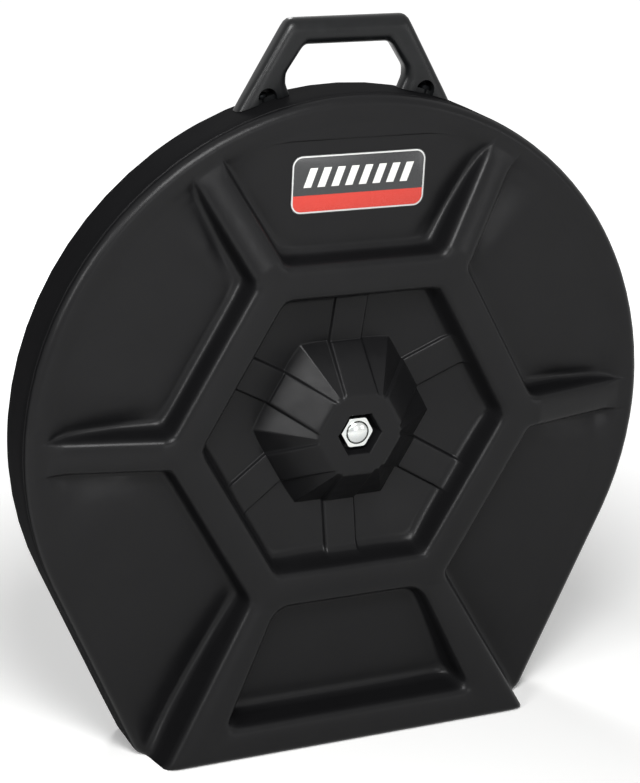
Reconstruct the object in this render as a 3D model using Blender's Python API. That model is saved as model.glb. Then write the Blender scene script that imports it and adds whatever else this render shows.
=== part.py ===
"""Moulded cymbal case: two shells on a centre post, with a carrying handle.

Metres, +Z up. The case stands on its flat base at z = 0, its moulded face looks to -Y.
Depths are measured to +Y from the top of the hexagon ring, heights from the centre post.
"""
import math

import bpy
import bmesh
from mathutils import Matrix, Vector

# Hexagon ring, spokes and the panels between them, from the post outwards
BOSS_TOP_APOTHEM = 0.0373
BOSS_SLOPE_WIDTH = 0.0377
HEX_FLOOR_WIDTH = 0.053
RING_WIDTH = 0.0305
SPOKE_LENGTH = 0.11598
SPOKE_WIDTH = 0.029
DRAFT = math.radians(10)
HEX_INNER_APOTHEM = BOSS_TOP_APOTHEM + BOSS_SLOPE_WIDTH + HEX_FLOOR_WIDTH
HEX_OUTER_APOTHEM = HEX_INNER_APOTHEM + RING_WIDTH
SIN60 = math.sqrt(3) / 2

# Outline of the shells
RIM_RADIUS = HEX_OUTER_APOTHEM / SIN60 + SPOKE_LENGTH
BASE_CUT = 0.002
POST_HEIGHT = RIM_RADIUS - BASE_CUT
TAPER = math.radians(24)
BASE_CORNER_RADIUS = 0.012
RIM_EDGE_RADIUS = 0.008
WALL = 0.004

# Depths behind the hexagon's top
RIM_FACE_DEPTH = 0.021
RIM_FACE_TO_SEAM = 0.009
REAR_SHELL_DEPTH = 0.055
FOOT_REACH = 0.017
SEAM_DEPTH = RIM_FACE_DEPTH + RIM_FACE_TO_SEAM
BACK_DEPTH = SEAM_DEPTH + REAR_SHELL_DEPTH
PANEL_DEPTH = 0.028
PANEL_DISH = 0.009
PANEL_FLAT = 0.62
HEX_FLOOR_DEPTH = 0.032

# Foot with its trapezoid panel
FOOT_SETBACK = 0.0136
LEG_SHOULDER = 0.0095
FOOT_EDGE_RADIUS = 0.006
WINDOW_TOP_GAP = 0.0015
LEG_TOP_WIDTH = 0.029
LEG_BOTTOM_WIDTH = 0.041
WINDOW_BOTTOM_RISE = 0.029
WINDOW_DEPTH = 0.022
WINDOW_CORNER_RADIUS = 0.010

# Boss that takes the bells of the cymbals
BOSS_FOOT_DEPTH = 0.040
BOSS_TOP_DEPTH = -0.002
NUT_POCKET_RADIUS = 0.022
NUT_POCKET_DEPTH = 0.014
BAND_WIDTH = 0.031
BAND_HEIGHT = 0.002
BAND_STEP = 0.002

# Lip of the front shell, which nests in the rear shell
LIP_THICKNESS = 0.003
LIP_REACH = 0.006
LIP_ROOT = 0.0045
LIP_STEP = 0.0012

# Back of the rear shell
BACK_RIM_WIDTH = 0.022
BACK_PANEL_DEPTH = 0.007
BACK_PANEL_DRAFT = math.radians(20)
BACK_CORNER_RADIUS = 0.012
BACK_RING_WIDTH = 0.024
KNOB_POCKET_RADIUS = 0.046
KNOB_POCKET_DEPTH = 0.020

# Fits and small edges
GAP = 0.0003

# Centre post and what it carries
STUD_RADIUS = 0.008
ROD_RADIUS = 0.004
COLLAR_RADIUS = 0.016
COLLAR_THICKNESS = 0.003
ROD_CHAMFER = 0.0008
ROD_SHORTFALL = 0.001
SEAL_RADIUS = 0.015
SEAL_THICKNESS = 0.0015
ACORN_ACROSS_FLATS = 0.0265
ACORN_HEX_HEIGHT = 0.0053
ACORN_DOME_HEIGHT = 0.0045
ACORN_DOME_RADIUS = 0.0102
ACORN_CHAMFER = 0.0007
ACORN_WASHER_RADIUS = 0.015
ACORN_WASHER_THICKNESS = 0.0016
FELT_RADIUS = 0.019
FELT_THICKNESS = 0.006
SLEEVE_RADIUS = 0.0055
CLAMP_WASHER_RADIUS = 0.014
CLAMP_WASHER_THICKNESS = 0.0016
WING_BODY_RADIUS = 0.0085
WING_BODY_HEIGHT = 0.009
WING_SPAN = 0.042
WING_HEIGHT = 0.013
WING_THICKNESS = 0.003
WING_ROOT_RISE = 0.001
WING_CORNER_RADIUS = 0.0012

# Closing knob
KNOB_RADIUS = 0.025
KNOB_LOBE = 0.002
KNOB_LOBES = 6
KNOB_HEIGHT = 0.017
KNOB_EDGE_RADIUS = 0.003
KNOB_WASHER_RADIUS = 0.014
KNOB_WASHER_THICKNESS = 0.0015
INSERT_RADIUS = 0.006
INSERT_DEPTH_IN_KNOB = 0.013
CLIP_THICKNESS = 0.001
CLIP_RADIUS = 0.009
CLIP_GROOVE_DEPTH = 0.001
CLIP_OPENING = math.radians(50)
INSERT_TIP = 0.0012

# Handle
HANDLE_SETBACK = 0.020
HANDLE_THICKNESS = 0.020
HANDLE_TOP_HALF_WIDTH = 0.0555
HANDLE_RISE = 0.061
GRIP_THICKNESS = 0.0235
GRIP_HALF_LENGTH = 0.041
HANDLE_FOOT_OUTER = 0.1015
HANDLE_FOOT_INNER = 0.052
HANDLE_WAIST_RISE = 0.012
HANDLE_WAIST_FLARE = 0.0045
HANDLE_EDGE_RADIUS = 0.004
HANDLE_CORNER_RADIUS = 0.010
SCREW_FORWARD = 0.002
POCKET_RADIUS = 0.0085
POCKET_FLOOR = 0.0035
POCKET_REACH = 0.015
SCREW_RADIUS = 0.003
SCREW_HEAD_RADIUS = 0.0055
SCREW_HEAD_HEIGHT = 0.0038
SCREW_SOCKET_ACROSS_FLATS = 0.0025
SCREW_SOCKET_DEPTH = 0.0013
HANDLE_WASHER_RADIUS = 0.008
HANDLE_WASHER_THICKNESS = 0.0014
HANDLE_NUT_ACROSS_FLATS = 0.010
HANDLE_NUT_HEIGHT = 0.005
NUT_CHAMFER = 0.0006
NUT_FACE_SHARE = 0.97

# Label plate
LABEL_WIDTH = 0.127
LABEL_HEIGHT = 0.052
LABEL_CORNER_RADIUS = 0.010
LABEL_THICKNESS = 0.0006
LABEL_OVER_HEXAGON = 0.039
PAD_SIDE_MARGIN = 0.009
PAD_END_MARGIN = 0.0125
PAD_STEP = 0.0025
PAD_BACKING = 0.004

# Mesh fineness
RIM_STEPS = 12
RADIAL_STEPS = 8
EDGE_STEPS = 3
BASE_STEPS = 6
TURN_STEPS = 36
CUT_MARGIN = 0.001
WALL_CURVE_GAP = 0.0003
SMOOTH_ANGLE = math.radians(35)
SMALL_TURN = math.radians(20)
BACK_POINT_SPACING = 0.002

# Places that follow from the sizes
DEPTH_CENTRE = (BACK_DEPTH - FOOT_REACH) / 2
HANDLE_DEPTH = BACK_DEPTH - HANDLE_SETBACK
HANDLE_TOP_HEIGHT = RIM_RADIUS + HANDLE_RISE
SCREW_DEPTH = HANDLE_DEPTH - SCREW_FORWARD
BASE_CORNER_X = (RIM_RADIUS - POST_HEIGHT * math.sin(TAPER)) / math.cos(TAPER)
FOOT_HALF_WIDTH = BASE_CORNER_X - FOOT_SETBACK
LABEL_RISE = HEX_OUTER_APOTHEM + LABEL_OVER_HEXAGON + LABEL_HEIGHT / 2
PAD_HALF_WIDTH = LABEL_WIDTH / 2 + PAD_SIDE_MARGIN
PAD_BOTTOM = LABEL_RISE - LABEL_HEIGHT / 2 - PAD_END_MARGIN
PAD_TOP = LABEL_RISE + LABEL_HEIGHT / 2 + PAD_END_MARGIN


def place(x, depth, height):
    """World point from a depth behind the hexagon's top and a height over the post."""
    return Vector((x, depth - DEPTH_CENTRE, height + POST_HEIGHT))


def clear_scene():
    for old in list(bpy.data.objects):
        bpy.data.objects.remove(old, do_unlink=True)


def material(name, colour, roughness, metallic=0.0):
    """Principled material, made once for each name."""
    found = bpy.data.materials.get(name)
    if found:
        return found
    made = bpy.data.materials.new(name)
    made.use_nodes = True
    shader = made.node_tree.nodes["Principled BSDF"]
    shader.inputs["Base Color"].default_value = (*colour, 1.0)
    shader.inputs["Roughness"].default_value = roughness
    shader.inputs["Metallic"].default_value = metallic
    made.diffuse_color = (*colour, 1.0)
    return made


def black_shell():
    return material("black_moulded_shell", (0.022, 0.022, 0.023), 0.45)


def black_plastic():
    return material("black_moulded_handle", (0.016, 0.016, 0.017), 0.35)


def zinc():
    return material("zinc_plated_steel", (0.55, 0.56, 0.57), 0.3, 1.0)


def brass():
    return material("turned_brass", (0.62, 0.45, 0.18), 0.35, 1.0)


def felt():
    return material("grey_felt", (0.16, 0.16, 0.16), 0.95)


def nylon():
    return material("black_nylon", (0.03, 0.03, 0.03), 0.5)


def rubber():
    return material("black_rubber", (0.02, 0.02, 0.02), 0.8)


def label_film():
    return material("printed_label_film", (0.03, 0.03, 0.035), 0.25)


def finish(name, bm, look, origin=None):
    """Object from a bmesh, with its doubles merged and its faces pointing out."""
    bmesh.ops.remove_doubles(bm, verts=bm.verts, dist=1e-6)
    bmesh.ops.recalc_face_normals(bm, faces=bm.faces)
    where = origin or place(0.0, 0.0, 0.0)
    bmesh.ops.translate(bm, verts=bm.verts, vec=-where)
    mesh = bpy.data.meshes.new(name)
    bm.to_mesh(mesh)
    bm.free()
    mesh.shade_smooth()
    mesh.set_sharp_from_angle(angle=SMOOTH_ANGLE)
    mesh.materials.append(look)
    made = bpy.data.objects.new(name, mesh)
    made.location = where
    bpy.context.scene.collection.objects.link(made)
    return made


def as_tool(tool):
    """Marks an object as a cutter or a joined-on shape, which is no piece itself."""
    tool.hide_render = True
    tool.display_type = "WIRE"
    return tool


def combine(target, tool, operation):
    step = target.modifiers.new(f"{operation.lower()}_{tool.name}", "BOOLEAN")
    step.operation = operation
    step.solver = "EXACT"
    step.object = as_tool(tool)


def lerp(a, b, t):
    return a + (b - a) * t


def cross2(a, b):
    return a.x * b.y - a.y * b.x


def meet(point_a, along_a, point_b, along_b):
    """Crossing of two lines in the (x, height) plane."""
    t = cross2(point_b - point_a, along_b) / cross2(along_a, along_b)
    return point_a + along_a * t


def polar(radius, angle):
    return Vector((radius * math.cos(angle), radius * math.sin(angle)))


# Outline, as points in (x, height) with their inward directions

def base_corner():
    """Rounded corner between the tapered side and the base, on the left: centre and tangent points."""
    along = Vector((math.sin(TAPER), -math.cos(TAPER)))
    tangent = polar(RIM_RADIUS, math.pi + TAPER)
    corner = meet(tangent, along, Vector((0.0, -POST_HEIGHT)), Vector((1.0, 0.0)))
    inward = Vector((math.cos(TAPER), math.sin(TAPER)))
    centre_x = corner.x + BASE_CORNER_RADIUS * math.tan((math.pi / 2 - TAPER) / 2)
    centre = Vector((centre_x, -POST_HEIGHT + BASE_CORNER_RADIUS))
    return tangent, centre - inward * BASE_CORNER_RADIUS, centre


def arc_columns(start, end, steps):
    """Columns along the round part of the outline."""
    made = []
    for index in range(steps + 1):
        angle = lerp(start, end, index / steps)
        made.append((polar(RIM_RADIUS, angle), -polar(1.0, angle)))
    return made


def lower_columns(start, steps):
    """Columns from the round part down the tapered left side and round the base corner."""
    tangent, corner_start, centre = base_corner()
    arc_steps = steps // 4
    corner_steps = steps // 3
    side_steps = steps - arc_steps - corner_steps
    made = arc_columns(start, math.pi + TAPER, arc_steps)
    inward = Vector((math.cos(TAPER), math.sin(TAPER)))
    for index in range(1, side_steps + 1):
        made.append((tangent.lerp(corner_start, index / side_steps), inward))
    for index in range(1, corner_steps + 1):
        angle = lerp(math.pi + TAPER, 1.5 * math.pi, index / corner_steps)
        made.append((centre + polar(BASE_CORNER_RADIUS, angle), -polar(1.0, angle)))
    return made


def mirrored(columns):
    return [(Vector((-p.x, p.y)), Vector((-n.x, n.y))) for p, n in reversed(columns)]


def closed_outline(inset=0.0):
    """Whole outline, anticlockwise from the right spoke, moved inwards by inset."""
    centre = base_corner()[2]
    panels = outer_panels()
    columns = [column for panel in panels[:4] for column in panel.columns]
    for index in range(1, BASE_STEPS):
        x = lerp(centre.x, -centre.x, index / BASE_STEPS)
        columns.append((Vector((x, -POST_HEIGHT)), Vector((0.0, 1.0))))
    columns += panels[4].columns
    return [p + n * inset for p, n in columns]


# Moulded face of the front shell

def spoke_rim_angle():
    return math.asin(SPOKE_WIDTH / 2 / (RIM_RADIUS - RIM_EDGE_RADIUS))


def spoke_corner(angle, side):
    """Where a spoke's edge leaves the hexagon; side is +1 anticlockwise of the spoke."""
    half = SPOKE_WIDTH / 2
    along = polar(1.0, angle)
    across = Vector((-along.y, along.x)) * side
    reach = HEX_OUTER_APOTHEM / SIN60 - half / math.tan(math.radians(60))
    return along * reach + across * half


def leg_line():
    """Outer edge of the left leg: its point on the hexagon and its point at the base."""
    base = Vector((-FOOT_HALF_WIDTH, -POST_HEIGHT))
    top = Vector((-HEX_OUTER_APOTHEM / math.tan(math.radians(60)) - LEG_SHOULDER, -HEX_OUTER_APOTHEM))
    middle = polar(HEX_OUTER_APOTHEM, math.radians(210))
    edge = Vector((-math.sin(math.radians(210)), math.cos(math.radians(210))))
    return meet(base, top - base, middle, edge), base


def foot_depth(height):
    """Depth of the plane of the legs and the foot."""
    top, base = leg_line()
    return -FOOT_REACH * (height - top.y) / (base.y - top.y)


class Panel:
    """One sunk panel of the face, between two raised edges, from the hexagon out to the rim."""

    def __init__(self, starts, ends, columns, ramps):
        self.starts = starts
        self.ends = ends
        self.columns = columns
        self.ramps = ramps

    def floor_depth(self, s, t):
        near = max(0.0, (abs(2 * t - 1) - PANEL_FLAT) / (1 - PANEL_FLAT))
        return lerp(PANEL_DEPTH, RIM_FACE_DEPTH, s) + PANEL_DISH * math.sin(math.pi * s) * near ** 2

    def web(self, side, s):
        """Point (x, depth, height) on the raised edge at one side."""
        plan = self.starts[side].lerp(self.ends[side], s)
        return plan, self.ramps[side](s)

    def foot_corner(self, side):
        inset = PANEL_DEPTH * math.tan(DRAFT)
        across = (self.starts[1] - self.starts[0]).normalized()
        outward = Vector((across.y, -across.x))
        if outward.dot(self.starts[0]) < 0:
            outward = -outward
        along = (self.ends[side] - self.starts[side]).normalized()
        inward = self.inward(side)
        return meet(self.starts[0] + outward * inset, across, self.starts[side] + inward * inset, along)

    def inward(self, side):
        along = (self.ends[side] - self.starts[side]).normalized()
        normal = Vector((-along.y, along.x))
        other = self.starts[1 - side] - self.starts[side]
        return normal if normal.dot(other) > 0 else -normal

    def foot(self, side, s):
        """Point of the floor at the foot of a raised edge."""
        start = self.foot_corner(side)
        along = (self.ends[side] - self.starts[side]).normalized()
        begin = (start - self.starts[side]).dot(along)
        length = (self.ends[side] - self.starts[side]).length
        plan = self.starts[side] + along * lerp(begin, length, s)
        height = self.floor_depth(s, side) - self.ramps[side](s)
        return plan + self.inward(side) * height * math.tan(DRAFT)

    def rim(self, index):
        point, inward = self.columns[index]
        return point + inward * edge_radius(point)

    def floor(self, s, index):
        """Floor point of the Coons patch between the four edges of the floor."""
        t = index / (len(self.columns) - 1)
        if s == 1.0:
            return self.rim(index)
        sides = self.foot(0, s).lerp(self.foot(1, s), t)
        inner = self.foot(0, 0.0).lerp(self.foot(1, 0.0), t)
        ends = inner.lerp(self.rim(index), s)
        corners = [self.foot(0, 0.0), self.foot(1, 0.0), self.rim(0), self.rim(-1)]
        flat = corners[0].lerp(corners[1], t).lerp(corners[2].lerp(corners[3], t), s)
        return sides + ends - flat


def edge_radius(point):
    """Rounding between face and side: full on the rim, small at the foot."""
    corner_start = base_corner()[1]
    if point.y > corner_start.y:
        return RIM_EDGE_RADIUS
    share = (corner_start.y - point.y) / (corner_start.y + POST_HEIGHT)
    return lerp(RIM_EDGE_RADIUS, FOOT_EDGE_RADIUS, share)


def spoke_ramp(s):
    return RIM_FACE_DEPTH * s


def leg_ramp(s):
    return -FOOT_REACH * s


def outer_panels():
    """The five panels, anticlockwise from the right spoke."""
    delta = spoke_rim_angle()
    made = []
    for turn in (0, 60, 120):
        low, high = math.radians(turn), math.radians(turn + 60)
        columns = arc_columns(low + delta, high - delta, RIM_STEPS)
        starts = [spoke_corner(low, 1), spoke_corner(high, -1)]
        made.append(rim_panel(starts, columns, [spoke_ramp, spoke_ramp]))
    leg_start, leg_base = leg_line()
    columns = lower_columns(math.pi + delta, RIM_STEPS)
    left = rim_panel([spoke_corner(math.pi, 1), leg_start], columns, [spoke_ramp, leg_ramp])
    left.ends[1] = leg_base + Vector((0.0, FOOT_EDGE_RADIUS))
    made.append(left)
    starts = [Vector((-leg_start.x, leg_start.y)), spoke_corner(0.0, -1)]
    right = rim_panel(starts, mirrored(columns), [leg_ramp, spoke_ramp])
    right.ends[0] = Vector((-left.ends[1].x, left.ends[1].y))
    made.append(right)
    return made


def rim_panel(starts, columns, ramps):
    ends = [point + inward * RIM_EDGE_RADIUS for point, inward in (columns[0], columns[-1])]
    return Panel(starts, ends, columns, ramps)


class Skin:
    """Surface under construction, whose points are shared by place."""

    def __init__(self):
        self.bm = bmesh.new()
        self.points = {}

    def point(self, x, depth, height):
        where = place(x, depth, height)
        key = tuple(round(v * 1e6) for v in where)
        if key not in self.points:
            self.points[key] = self.bm.verts.new(where)
        return self.points[key]

    def face(self, corners):
        """Face of three or more different points; anything thinner is left out."""
        kept = []
        for corner in corners:
            if corner not in kept:
                kept.append(corner)
        if len(kept) > 2 and not self.bm.faces.get(kept):
            return self.bm.faces.new(kept)
        return None

    def strip(self, first, second):
        for index in range(len(first) - 1):
            self.face([first[index], first[index + 1], second[index + 1], second[index]])

    def ring(self, first, second):
        self.strip(first + first[:1], second + second[:1])

    def fill(self, loops):
        """Triangulates a flat region bounded by closed loops of points."""
        edges = []
        for loop in loops:
            for index, corner in enumerate(loop):
                pair = [corner, loop[(index + 1) % len(loop)]]
                if pair[0] is pair[1]:
                    continue
                edges.append(self.bm.edges.get(pair) or self.bm.edges.new(pair))
        bmesh.ops.triangle_fill(self.bm, use_beauty=True, edges=list(dict.fromkeys(edges)))


def hexagon_column_angles():
    """Angles round the hexagon: its corners, and the two steps and the middle of each band."""
    made = []
    for sector in range(6):
        made += [(sector, "corner"), (sector, "low"), (sector, "low_band"),
                 (sector, "middle"), (sector, "high_band"), (sector, "high")]
    return made


def hexagon_point(apothem, sector, kind, band_half):
    """Point on a hexagon with corners to the right and left, at one of its columns."""
    start = math.radians(60 * sector)
    corner = polar(apothem / SIN60, start)
    following = polar(apothem / SIN60, start + math.radians(60))
    middle = (corner + following) / 2
    along = (following - corner).normalized()
    offsets = {"low": -band_half - BAND_STEP, "low_band": -band_half, "middle": 0.0,
               "high_band": band_half, "high": band_half + BAND_STEP}
    if kind == "corner":
        return corner
    return middle + along * offsets[kind]


def hexagon_ring(skin, apothem, depth, raised, band_half):
    made = []
    for sector, kind in hexagon_column_angles():
        plan = hexagon_point(apothem, sector, kind, band_half)
        lift = raised if kind in ("low_band", "middle", "high_band") else 0.0
        made.append(skin.point(plan.x, depth - lift, plan.y))
    return made


def hexagon_recess(skin):
    """Sunk hexagon with the boss and its six bands; gives back the ring of its top edge."""
    band_half = BAND_WIDTH / 2
    top = hexagon_ring(skin, HEX_INNER_APOTHEM, 0.0, 0.0, band_half)
    wall = HEX_INNER_APOTHEM - HEX_FLOOR_DEPTH * math.tan(DRAFT)
    floor = hexagon_ring(skin, wall, HEX_FLOOR_DEPTH, BAND_HEIGHT, band_half)
    foot = hexagon_ring(skin, BOSS_TOP_APOTHEM + BOSS_SLOPE_WIDTH, BOSS_FOOT_DEPTH, BAND_HEIGHT, band_half)
    crown = boss_crown(skin, band_half)
    for outer, inner in ((top, floor), (floor, foot), (foot, crown)):
        skin.ring(outer, inner)
    pocket = [skin.point(*pocket_point(index, BOSS_TOP_DEPTH)) for index in range(6)]
    skin.fill([crown, pocket])
    seat = [skin.point(*pocket_point(index, BOSS_TOP_DEPTH + NUT_POCKET_DEPTH)) for index in range(6)]
    skin.ring(pocket, seat)
    bore = [polar(STUD_RADIUS + GAP, math.tau * index / TURN_STEPS) for index in range(TURN_STEPS)]
    hole = [skin.point(p.x, BOSS_TOP_DEPTH + NUT_POCKET_DEPTH, p.y) for p in bore]
    skin.fill([seat, hole])
    return top


def boss_crown(skin, band_half):
    """Edge of the boss's flat top: wide sides at the bands, short ones between them."""
    made = []
    for sector, kind in hexagon_column_angles():
        middle = math.radians(60 * sector + 30)
        corner = math.radians(60 * sector)
        short = BOSS_TOP_APOTHEM * math.cos(math.radians(30)) + band_half * math.sin(math.radians(30))
        if kind == "corner":
            plan = polar(short, corner)
        elif kind in ("low", "high"):
            turn = -1 if kind == "low" else 1
            plan = polar(short, middle + turn * math.radians(30))
            plan = plan.lerp(band_corner(middle, turn, band_half), 0.5)
        elif kind == "middle":
            plan = polar(BOSS_TOP_APOTHEM, middle)
        else:
            plan = band_corner(middle, -1 if kind == "low_band" else 1, band_half)
        made.append(skin.point(plan.x, BOSS_TOP_DEPTH, plan.y))
    return made


def band_corner(middle, turn, band_half):
    along = polar(1.0, middle)
    across = Vector((-along.y, along.x))
    return along * BOSS_TOP_APOTHEM + across * turn * band_half


def pocket_point(index, depth):
    plan = polar(NUT_POCKET_RADIUS, math.radians(60 * index))
    return plan.x, depth, plan.y


def rounded_polygon(corners, radius, steps=4):
    """Convex polygon with round corners, as a list of points."""
    made = []
    for index, corner in enumerate(corners):
        before = (corners[index - 1] - corner).normalized()
        after = (corners[(index + 1) % len(corners)] - corner).normalized()
        half = math.acos(max(-1.0, min(1.0, before.dot(after)))) / 2
        if 2 * half > math.pi - SMALL_TURN:
            made.append(corner)
            continue
        centre = corner + (before + after).normalized() * radius / math.sin(half)
        start = corner + before * radius / math.tan(half) - centre
        end = corner + after * radius / math.tan(half) - centre
        sweep = start.angle_signed(end)
        for step in range(steps + 1):
            turn = -sweep * step / steps
            turned = Vector((start.x * math.cos(turn) - start.y * math.sin(turn),
                             start.x * math.sin(turn) + start.y * math.cos(turn)))
            made.append(centre + turned)
    return made


def shrink(points, inset):
    """Loop moved inwards by inset, each point along the middle of its two edges."""
    made = []
    for index, point in enumerate(points):
        before = (point - points[index - 1]).normalized()
        after = (points[(index + 1) % len(points)] - point).normalized()
        normal_a = Vector((-before.y, before.x))
        normal_b = Vector((-after.y, after.x))
        bisector = (normal_a + normal_b).normalized()
        made.append(point + bisector * inset / bisector.dot(normal_a))
    return made


def window_corners():
    """Corners of the trapezoid panel, each a leg's width inside the leg's outer edge."""
    top, base = leg_line()
    low = -POST_HEIGHT + WINDOW_BOTTOM_RISE
    high = -HEX_OUTER_APOTHEM - WINDOW_TOP_GAP
    corners = []
    for height, width in ((low, LEG_BOTTOM_WIDTH), (high, LEG_TOP_WIDTH)):
        edge = lerp(top.x, base.x, (height - top.y) / (base.y - top.y))
        corners.append(Vector((edge + width, height)))
    left_low, left_high = corners
    return [left_low, Vector((-left_low.x, low)), Vector((-left_high.x, high)), left_high]


def foot_window(skin):
    """Sunk trapezoid panel in the foot; gives back the loop of its top edge."""
    plan = rounded_polygon(window_corners(), WINDOW_CORNER_RADIUS)
    sunk = shrink(plan, WINDOW_DEPTH * math.tan(DRAFT))
    top = [skin.point(p.x, foot_depth(p.y), p.y) for p in plan]
    floor = [skin.point(q.x, foot_depth(p.y) + WINDOW_DEPTH, q.y) for p, q in zip(plan, sunk)]
    skin.ring(top, floor)
    skin.fill([floor])
    return top


def edge_column(skin, point, inward, depth, radius):
    """Points down from the face over the rounded edge to the seam."""
    made = []
    for step in range(EDGE_STEPS + 1):
        angle = math.pi / 2 * step / EDGE_STEPS
        plan = point + inward * radius * (1 - math.sin(angle))
        made.append(skin.point(plan.x, depth + radius * (1 - math.cos(angle)), plan.y))
    made.append(skin.point(point.x, SEAM_DEPTH, point.y))
    return made


def front_surface():
    """Outer skin of the front shell, open at the seam and at the post's bore."""
    skin = Skin()
    panels = outer_panels()
    webs = []
    for panel in panels:
        count = len(panel.columns) - 1
        rows = []
        for step in range(RADIAL_STEPS + 1):
            s = step / RADIAL_STEPS
            row = []
            for index in range(count + 1):
                plan = panel.floor(s, index)
                row.append(skin.point(plan.x, panel.floor_depth(s, index / count), plan.y))
            rows.append(row)
        for row, following in zip(rows, rows[1:]):
            skin.strip(row, following)
        edges = []
        for side in (0, 1):
            edge = []
            for step in range(RADIAL_STEPS + 1):
                plan, depth = panel.web(side, step / RADIAL_STEPS)
                edge.append(skin.point(plan.x, depth, plan.y))
            foot = [row[0 if side == 0 else -1] for row in rows]
            skin.strip(edge, foot)
            edges.append(edge)
        hexagon_edge = []
        for index in range(count + 1):
            plan = panel.starts[0].lerp(panel.starts[1], index / count)
            hexagon_edge.append(skin.point(plan.x, 0.0, plan.y))
        skin.strip(hexagon_edge, rows[0])
        webs.append((edges, hexagon_edge))
    for before, after in ((0, 1), (1, 2), (2, 3), (4, 0)):
        skin.strip(webs[before][0][1], webs[after][0][0])
    ring = []
    for index in range(5):
        ring += webs[index][1]
    skin.fill([ring, hexagon_recess(skin)])
    left_leg, right_leg = webs[3][0][1], webs[4][0][0]
    rows_of_edge = rim_edge(skin, panels)
    foot_front = foot_edge(skin)
    boundary = left_leg + foot_front + list(reversed(right_leg))
    skin.fill([list(dict.fromkeys(boundary)), foot_window(skin)])
    base_plate(skin, rows_of_edge, left_leg, right_leg, foot_front)
    return skin


def rim_edge(skin, panels):
    """Rounded edge and side of the shell round the rim; gives back its first and last column."""
    columns = []
    for panel in (panels[4], panels[0], panels[1], panels[2], panels[3]):
        for point, inward in panel.columns:
            made = edge_column(skin, point, inward, RIM_FACE_DEPTH, edge_radius(point))
            if not columns or made[0] is not columns[-1][0]:
                columns.append(made)
    for before, after in zip(columns, columns[1:]):
        skin.strip(before, after)
    return columns[0], columns[-1]


def foot_edge(skin):
    """Front edge of the foot, just over its rounding, from left to right."""
    base = leg_line()[1]
    height = base.y + FOOT_EDGE_RADIUS
    made = []
    for index in range(1, RIM_STEPS):
        x = lerp(base.x, -base.x, index / RIM_STEPS)
        made.append(skin.point(x, -FOOT_REACH, height))
    return made


def base_plate(skin, end_columns, left_leg, right_leg, foot_front):
    """Rounded lower edge of the foot and the flat base behind it, up to the seam."""
    right_end, left_end = end_columns
    radius = FOOT_EDGE_RADIUS
    upper = [left_leg[-1]] + foot_front + [right_leg[-1]]
    rows = [upper]
    for step in range(1, EDGE_STEPS + 1):
        angle = math.pi / 2 * step / EDGE_STEPS
        row = []
        for index in range(RIM_STEPS + 1):
            x = lerp(-FOOT_HALF_WIDTH, FOOT_HALF_WIDTH, index / RIM_STEPS)
            depth = -FOOT_REACH + radius * (1 - math.cos(angle))
            row.append(skin.point(x, depth, -POST_HEIGHT + radius * (1 - math.sin(angle))))
        rows.append(row)
    for row, following in zip(rows, rows[1:]):
        skin.strip(row, following)
    left_corner = [row[0] for row in rows]
    right_corner = [row[-1] for row in rows]
    skin.strip(left_end[:EDGE_STEPS + 1], left_corner)
    skin.strip(right_end[:EDGE_STEPS + 1], right_corner)
    plate = [left_end[-1], left_end[-2]] + rows[-1] + [right_end[-2], right_end[-1]]
    skin.face(plate)


def swept_ring(name, section, look):
    """Closed ring whose section, as (inset, depth) points, follows the middles of the outline's chords."""
    skin = Skin()
    loops = []
    for inset, depth in section:
        outline = closed_outline(inset)
        chords = zip(outline, outline[1:] + outline[:1])
        loops.append([skin.point((a.x + b.x) / 2, depth, (a.y + b.y) / 2) for a, b in chords])
    for index, loop in enumerate(loops):
        skin.ring(loop, loops[(index + 1) % len(loops)])
    return finish(name, skin.bm, look)


def shell_walls(target):
    walls = target.modifiers.new("wall", "SOLIDIFY")
    walls.thickness = WALL
    walls.offset = -1.0
    walls.use_even_offset = True
    walls.use_quality_normals = True
    return walls


def top_floor_depth(height):
    """Depth of the top panel's floor on its middle line."""
    foot = HEX_OUTER_APOTHEM + PANEL_DEPTH * math.tan(DRAFT)
    return lerp(PANEL_DEPTH, RIM_FACE_DEPTH, (height - foot) / (RIM_RADIUS - RIM_EDGE_RADIUS - foot))


def pad_depth(height):
    """Depth of the flat pad under the label: flush at its lower end, sunk by its step at the upper one."""
    share = (height - PAD_BOTTOM) / (PAD_TOP - PAD_BOTTOM)
    return lerp(top_floor_depth(PAD_BOTTOM), top_floor_depth(PAD_TOP) + PAD_STEP, share)


def pad_block(name, margin, front, back):
    """Block along the label's pad, from front to back of its plane."""
    skin = Skin()
    half = PAD_HALF_WIDTH + margin
    corners = [(-half, PAD_BOTTOM - margin), (half, PAD_BOTTOM - margin), (half, PAD_TOP + margin),
               (-half, PAD_TOP + margin)]
    near = [skin.point(x, pad_depth(z) + front, z) for x, z in corners]
    far = [skin.point(x, pad_depth(z) + back, z) for x, z in corners]
    skin.ring(near, far)
    skin.face(near)
    skin.face(far)
    return finish(name, skin.bm, black_shell())


def front_shell():
    skin = front_surface()
    shell = finish("front_shell", skin.bm, black_shell())
    shell_walls(shell)
    outer = WALL + GAP
    step = SEAM_DEPTH - LIP_STEP
    section = [(outer, SEAM_DEPTH + LIP_REACH), (outer, step), (WALL / 2, step),
               (WALL / 2, SEAM_DEPTH - LIP_ROOT / 2), (outer + LIP_THICKNESS, SEAM_DEPTH - LIP_ROOT),
               (outer + LIP_THICKNESS, SEAM_DEPTH + LIP_REACH)]
    combine(shell, swept_ring("nesting_lip", section, black_shell()), "UNION")
    combine(shell, pad_block("label_pad_backing", PAD_BACKING, WALL / 4, WALL), "UNION")
    combine(shell, pad_block("label_pad_cut", 0.0, -WALL, 0.0), "DIFFERENCE")
    return shell


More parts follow.
